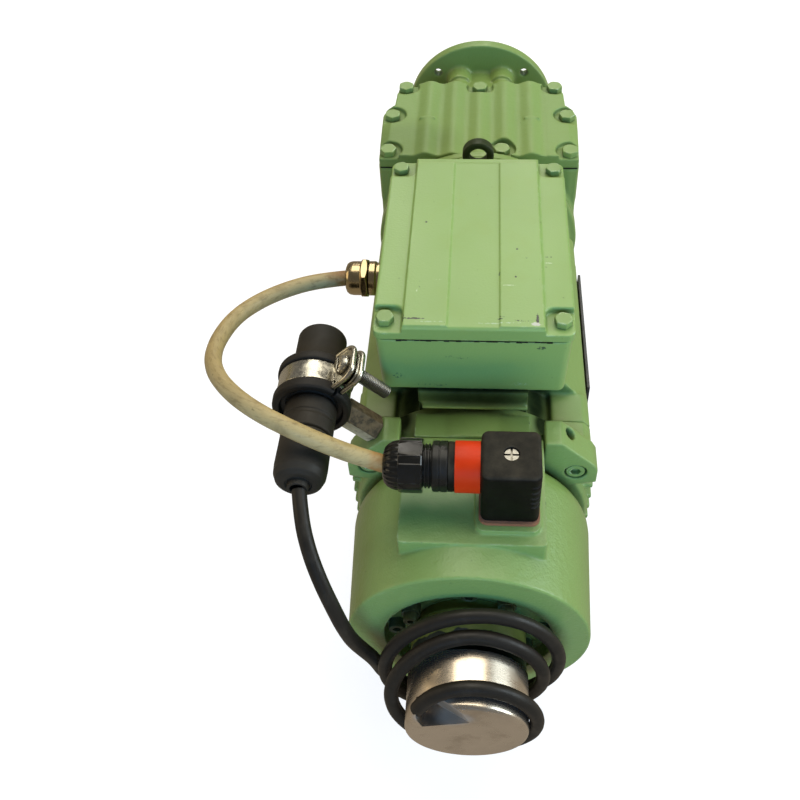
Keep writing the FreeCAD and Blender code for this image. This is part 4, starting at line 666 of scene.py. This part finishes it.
coil = []
steps = 50
for i in range(steps + 1):
    t = TURN[0][0] + (TURN[-1][0] - TURN[0][0]) * i / steps
    r, y = along(TURN, min(t, TURN[-1][0] - 1e-6))
    a = math.radians(t)
    coil.append((r * math.cos(a), y, r * math.sin(a)))
lead = [P(*q) for q in BLACK + coil]
black = curve_cord("encoder_cable", lead, 0.007, M["black_cable"])
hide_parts("encoder_lead", "encoder_lead_coil")

# ------------------------------------------------------------ castings etc.
soft("gearcase", M["paint"], 0.0010, 4, 0.15)
soft("gearcase_cover", M["paint_cover"], 0.0006, 16, 0.25)
soft("output_flange", M["paint"], 0.0007, 6, 0.2)
soft("drive_end_shield", M["paint"], 0.0010, 3, 0.2)
soft("stator_housing", M["paint_motor"], 0.0008, 2, 0.1)
soft("rear_end_shield", M["paint_rear"], 0.0007, 4, 0.2)
soft("brake_cover", M["paint_brake"], 0.0005, 3, 0.15)
soft("terminal_box", M["paint_box"], 0.0007, 3, 0.15)
soft("terminal_box_lid", M["paint_lid"], 0.00040, 2, 0.2)
soft("cover_screws", M["paint_screw"], 0.00030, 2, 0.2)
soft("lid_screws", M["paint_screw"], 0.00025, 2, 0.2)
soft("socket_head_screws", M["paint_screw"], 0.00035, 2, 0.2)
soft("oil_plugs", M["paint_screw"], 0.00035, 2, 0.2)
soft("lifting_eye", M["iron"], 0.0003, 4, 0.2)
soft("plug_housing", M["plug"], 0.00035, 3, 0.2)
soft("gland_body", M["nickel"], 0.00022, 3, 0.2)
soft("gland_nuts", M["nickel"], 0.00022, 3, 0.2)
soft("hex_spacer", M["spacer"], 0.00030, 4, 0.25)
soft("connector_cap", M["cap"], 0.00030, 5, 0.2)
soft("connector_body", M["connector"], 0.00028, 3, 0.2)
soft("connector_backshell", M["connector"], 0.00028, 3, 0.2)
soft("clamp_rubber", M["rubber"], 0.00032, 4, 0.2)

# ----------------------------------------------------------- clamp's details
N = math.sqrt(0.5)
D1, E1, AXIS = Vector((N, 0.0, -N)), Vector((N, 0.0, N)), Vector((-78.4, 130.7, 88.2))


def clamp_pt(s, t, y):
    return AXIS + D1 * s + E1 * t + Vector((0.0, y, 0.0))


rims = []
for s in (-2.3, 3.0):
    path = []
    for t, y in ((19.5, -9.6), (23.0, -9.6), (27.4, -9.5)):
        path.append(clamp_pt(s, t, y))
    for k in range(1, 8):
        a = math.radians(-90.0 + 90.0 * k / 8)
        path.append(clamp_pt(s, 27.4 + 5.8 * math.cos(a), -3.7 + 5.8 * math.sin(a)))
    for k in range(0, 9):
        a = math.radians(90.0 * k / 8)
        path.append(clamp_pt(s, 27.4 + 5.8 * math.cos(a), 3.9 + 5.8 * math.sin(a)))
    path.append(clamp_pt(s, 23.0, 9.7))
    path.append(clamp_pt(s, 19.5, 9.7))
    rims.append(rod(path, 1.35))
teeth = [ball(clamp_pt(-2.6, 19.4 + 0.05 * (k % 2), -8.6 + 1.55 * k), 0.72) for k in range(12)]
soft("clamp_band", M["zinc"], 0.00026, 3, 0.25, extra=rims + teeth)
soft("clamp_screw_and_nut", M["zinc"], 0.00025, 5, 0.25)
thread = [(2.5, 6.4)]
for k in range(19):
    thread += [(3.02, 6.4 + k), (3.36, 6.75 + k), (3.36, 6.95 + k)]
thread += [(3.02, 25.3), (2.5, 25.3)]
piece("clamp_screw_thread", [lathe(clamp_pt(0.0, 26.0, 0.0), D1, (0.0, 1.0, 0.0), thread, 32)], M["screw"], "housing")

# ------------------------------------------------------- plug's cable outlet
PLUG = (0.0, 88.6, 87.5)


def nut_radius(t, k, r):
    if k in (0, 1, 12, 13):
        return r
    if k >= 8:
        a = (t - math.radians(24.0)) % math.radians(60.0)
        a = abs(a - math.radians(30.0))
        flat = 12.0 / math.cos(a)
        return min(r, flat if a < math.radians(21.5) else 12.62)
    return r * (1.0 - 0.035 * abs(math.sin(14.0 * t))) if k > 2 else r


nut = [(4.6, -33.0), (4.6, -40.0), (6.2, -40.4), (8.2, -39.8), (9.8, -38.3), (10.9, -36.4), (11.5, -34.4), (11.7, -33.0),
       (12.2, -33.0), (13.0, -32.2), (13.0, -22.6), (12.2, -22.0), (10.1, -22.0), (10.1, -33.0)]
piece("plug_gland_nut_shell", [lathe(PLUG, (1, 0, 0), (0, 0, 1), nut, 240, nut_radius)], M["nut"], "housing",
      replaces=("plug_gland_nut",), angle=32.0)
ridged = [(4.6, -2.0), (4.6, -25.0), (9.4, -25.0)]
for k in range(5):
    ridged += [(9.5, -24.4 + 1.55 * k), (10.35, -24.0 + 1.55 * k), (10.35, -23.5 + 1.55 * k), (9.5, -23.1 + 1.55 * k)]
ridged += [(9.4, -17.6), (11.3, -17.6), (11.7, -17.2), (11.8, -16.6), (11.8, -14.6), (11.5, -14.4), (11.5, -14.0), (11.8, -13.8),
           (11.8, -11.0), (11.6, -10.5), (8.1, -10.5), (8.1, -2.0)]
piece("plug_gland_body_shell", [lathe(PLUG, (1, 0, 0), (0, 0, 1), ridged, 120)], M["body"], "housing",
      replaces=("plug_gland_body",), angle=32.0)
wrap = [(11.6, -7.2), (11.95, -7.2), (12.0, -7.0), (12.0, 4.4), (11.6, 4.4)]
piece("plug_outlet_sleeve", [lathe(PLUG, (1, 0, 0), (0, 0, 1), wrap, 120)], M["sleeve"], "housing")

# dark lip of the lid's gasket along the near wall; it also stands as the painted shadow of the lid seam
lip_and_seam_shade = [bar(-37.4 + 2.9 * k, -34.6 + 2.9 * k, 142.9 + 0.12 * ((7 * k) % 5), 144.6, 112.9 + 0.10 * ((5 * k) % 4), 113.9) for k in range(26)]
piece("lid_gasket_lip", lip_and_seam_shade, M["gasket"], "housing")

# ------------------------------------------------ materials of what is left
DEFAULT = {"green_paint": "paint", "shaft_steel": "steel", "bearing_steel": "bearing", "lamination_steel": "lamination",
           "copper_winding": "copper", "zinc_plated_steel": "zinc", "black_iron": "iron", "nickel_brass": "nickel",
           "bare_aluminium": "alu", "dark_anodised": "anodised", "plate_aluminium": "plate", "black_plastic": "plug",
           "black_rubber": "rubber", "gasket": "gasket", "brown_gasket": "brown", "grey_cable": "grey_cable",
           "black_cable": "black_cable", "friction_lining": "lining"}
OWN = {"hex_spacer": "spacer", "connector_cap": "cap", "connector_body": "connector", "connector_backshell": "connector",
       "plug_gland_nut": "nut", "plug_gland_body": "nut", "end_cover_screws": "paint_dark", "plug_screw": "bolt"}
for n, o in NODES.items():
    if not o.hide_render:
        o.data.materials.clear()
        o.data.materials.append(QUICK_MAT.get(n) or M[OWN.get(n, DEFAULT[SLOT[n]])])

# -------------------------------------------------------- floor and lights
bm = bmesh.new()
bmesh.ops.create_grid(bm, x_segments=8, y_segments=8, size=4.0)
me = bpy.data.meshes.new("floor")
bm.to_mesh(me)
bm.free()
floor = bpy.data.objects.new("floor", me)
floor.location = (0.0, 0.0, -0.0604)
scene.collection.objects.link(floor)
g = Nodes("floor")
g.set(Base_Color=g.mix(g.noise(3.0, 2.0), (0.25, 0.245, 0.235), (0.27, 0.265, 0.255)), Roughness=0.8)
g.bsdf.inputs["Emission Color"].default_value = (1.0, 1.0, 1.0, 1.0)
g.bsdf.inputs["Emission Strength"].default_value = 0.84
me.materials.append(g.mat)
floor.visible_diffuse = False
floor.visible_glossy = False


def area(name, loc, aim, size, power, colour):
    d = bpy.data.lights.new(name, "AREA")
    d.shape = "RECTANGLE"
    d.size, d.size_y = size
    d.energy = power
    d.color = colour
    o = bpy.data.objects.new(name, d)
    o.location = loc
    o.rotation_mode = "QUATERNION"
    o.rotation_quaternion = (Vector(aim) - Vector(loc)).to_track_quat("-Z", "Y")
    scene.collection.objects.link(o)
    return o


area("key", (0.15, 0.55, 2.3), (0.0, -0.20, 0.0), (2.4, 1.7), 46.5, (1.0, 0.935, 0.79))
area("right", (1.7, -0.30, 0.80), (0.0, -0.30, 0.05), (1.0, 1.2), 24.0, (0.80, 0.93, 1.0))
area("left", (-1.6, -0.30, 0.70), (0.0, -0.30, 0.05), (1.0, 1.0), 5.0, (1.0, 0.80, 0.50))
area("front", (0.15, -2.2, 0.92), (0.0, -0.35, 0.05), (1.5, 0.9), 40.0, (0.150, 0.45, 1.0)).visible_glossy = False
area("low", (0.05, -2.0, 0.12), (0.0, -0.48, 0.02), (1.2, 0.4), 7.0, (1.0, 0.90, 0.62)).visible_glossy = False
area("back", (0.30, 1.9, 0.80), (0.0, -0.10, 0.05), (1.4, 1.0), 12.0, (0.62, 0.82, 1.0)).visible_glossy = False
area("strip_a", (-0.30, 1.5, 1.45), (0.0, -0.5, 0.0), (0.16, 0.9), 3.0, (1.0, 0.95, 0.86))
area("strip_b", (0.14, 1.5, 1.45), (0.0, -0.5, 0.0), (0.14, 0.9), 3.0, (1.0, 0.95, 0.86))
world = bpy.data.worlds.new("studio")
world.use_nodes = True
nt = world.node_tree
co = nt.nodes.new("ShaderNodeTexCoord")
sep = nt.nodes.new("ShaderNodeSeparateXYZ")
nt.links.new(co.outputs["Generated"], sep.inputs[0])
hor = nt.nodes.new("ShaderNodeMapRange")
hor.interpolation_type = "SMOOTHSTEP"
nt.links.new(sep.outputs["Z"], hor.inputs["Value"])
hor.inputs["From Min"].default_value, hor.inputs["From Max"].default_value = -0.15, 0.55
sky = nt.nodes.new("ShaderNodeMix")
sky.data_type = "RGBA"
nt.links.new(hor.outputs["Result"], sky.inputs[0])
sky.inputs[6].default_value = (0.36, 0.31, 0.24, 1.0)
sky.inputs[7].default_value = (0.16, 0.155, 0.145, 1.0)
nt.links.new(sky.outputs[2], nt.nodes["Background"].inputs["Color"])
nt.nodes["Background"].inputs["Strength"].default_value = 1.0
scene.world = world
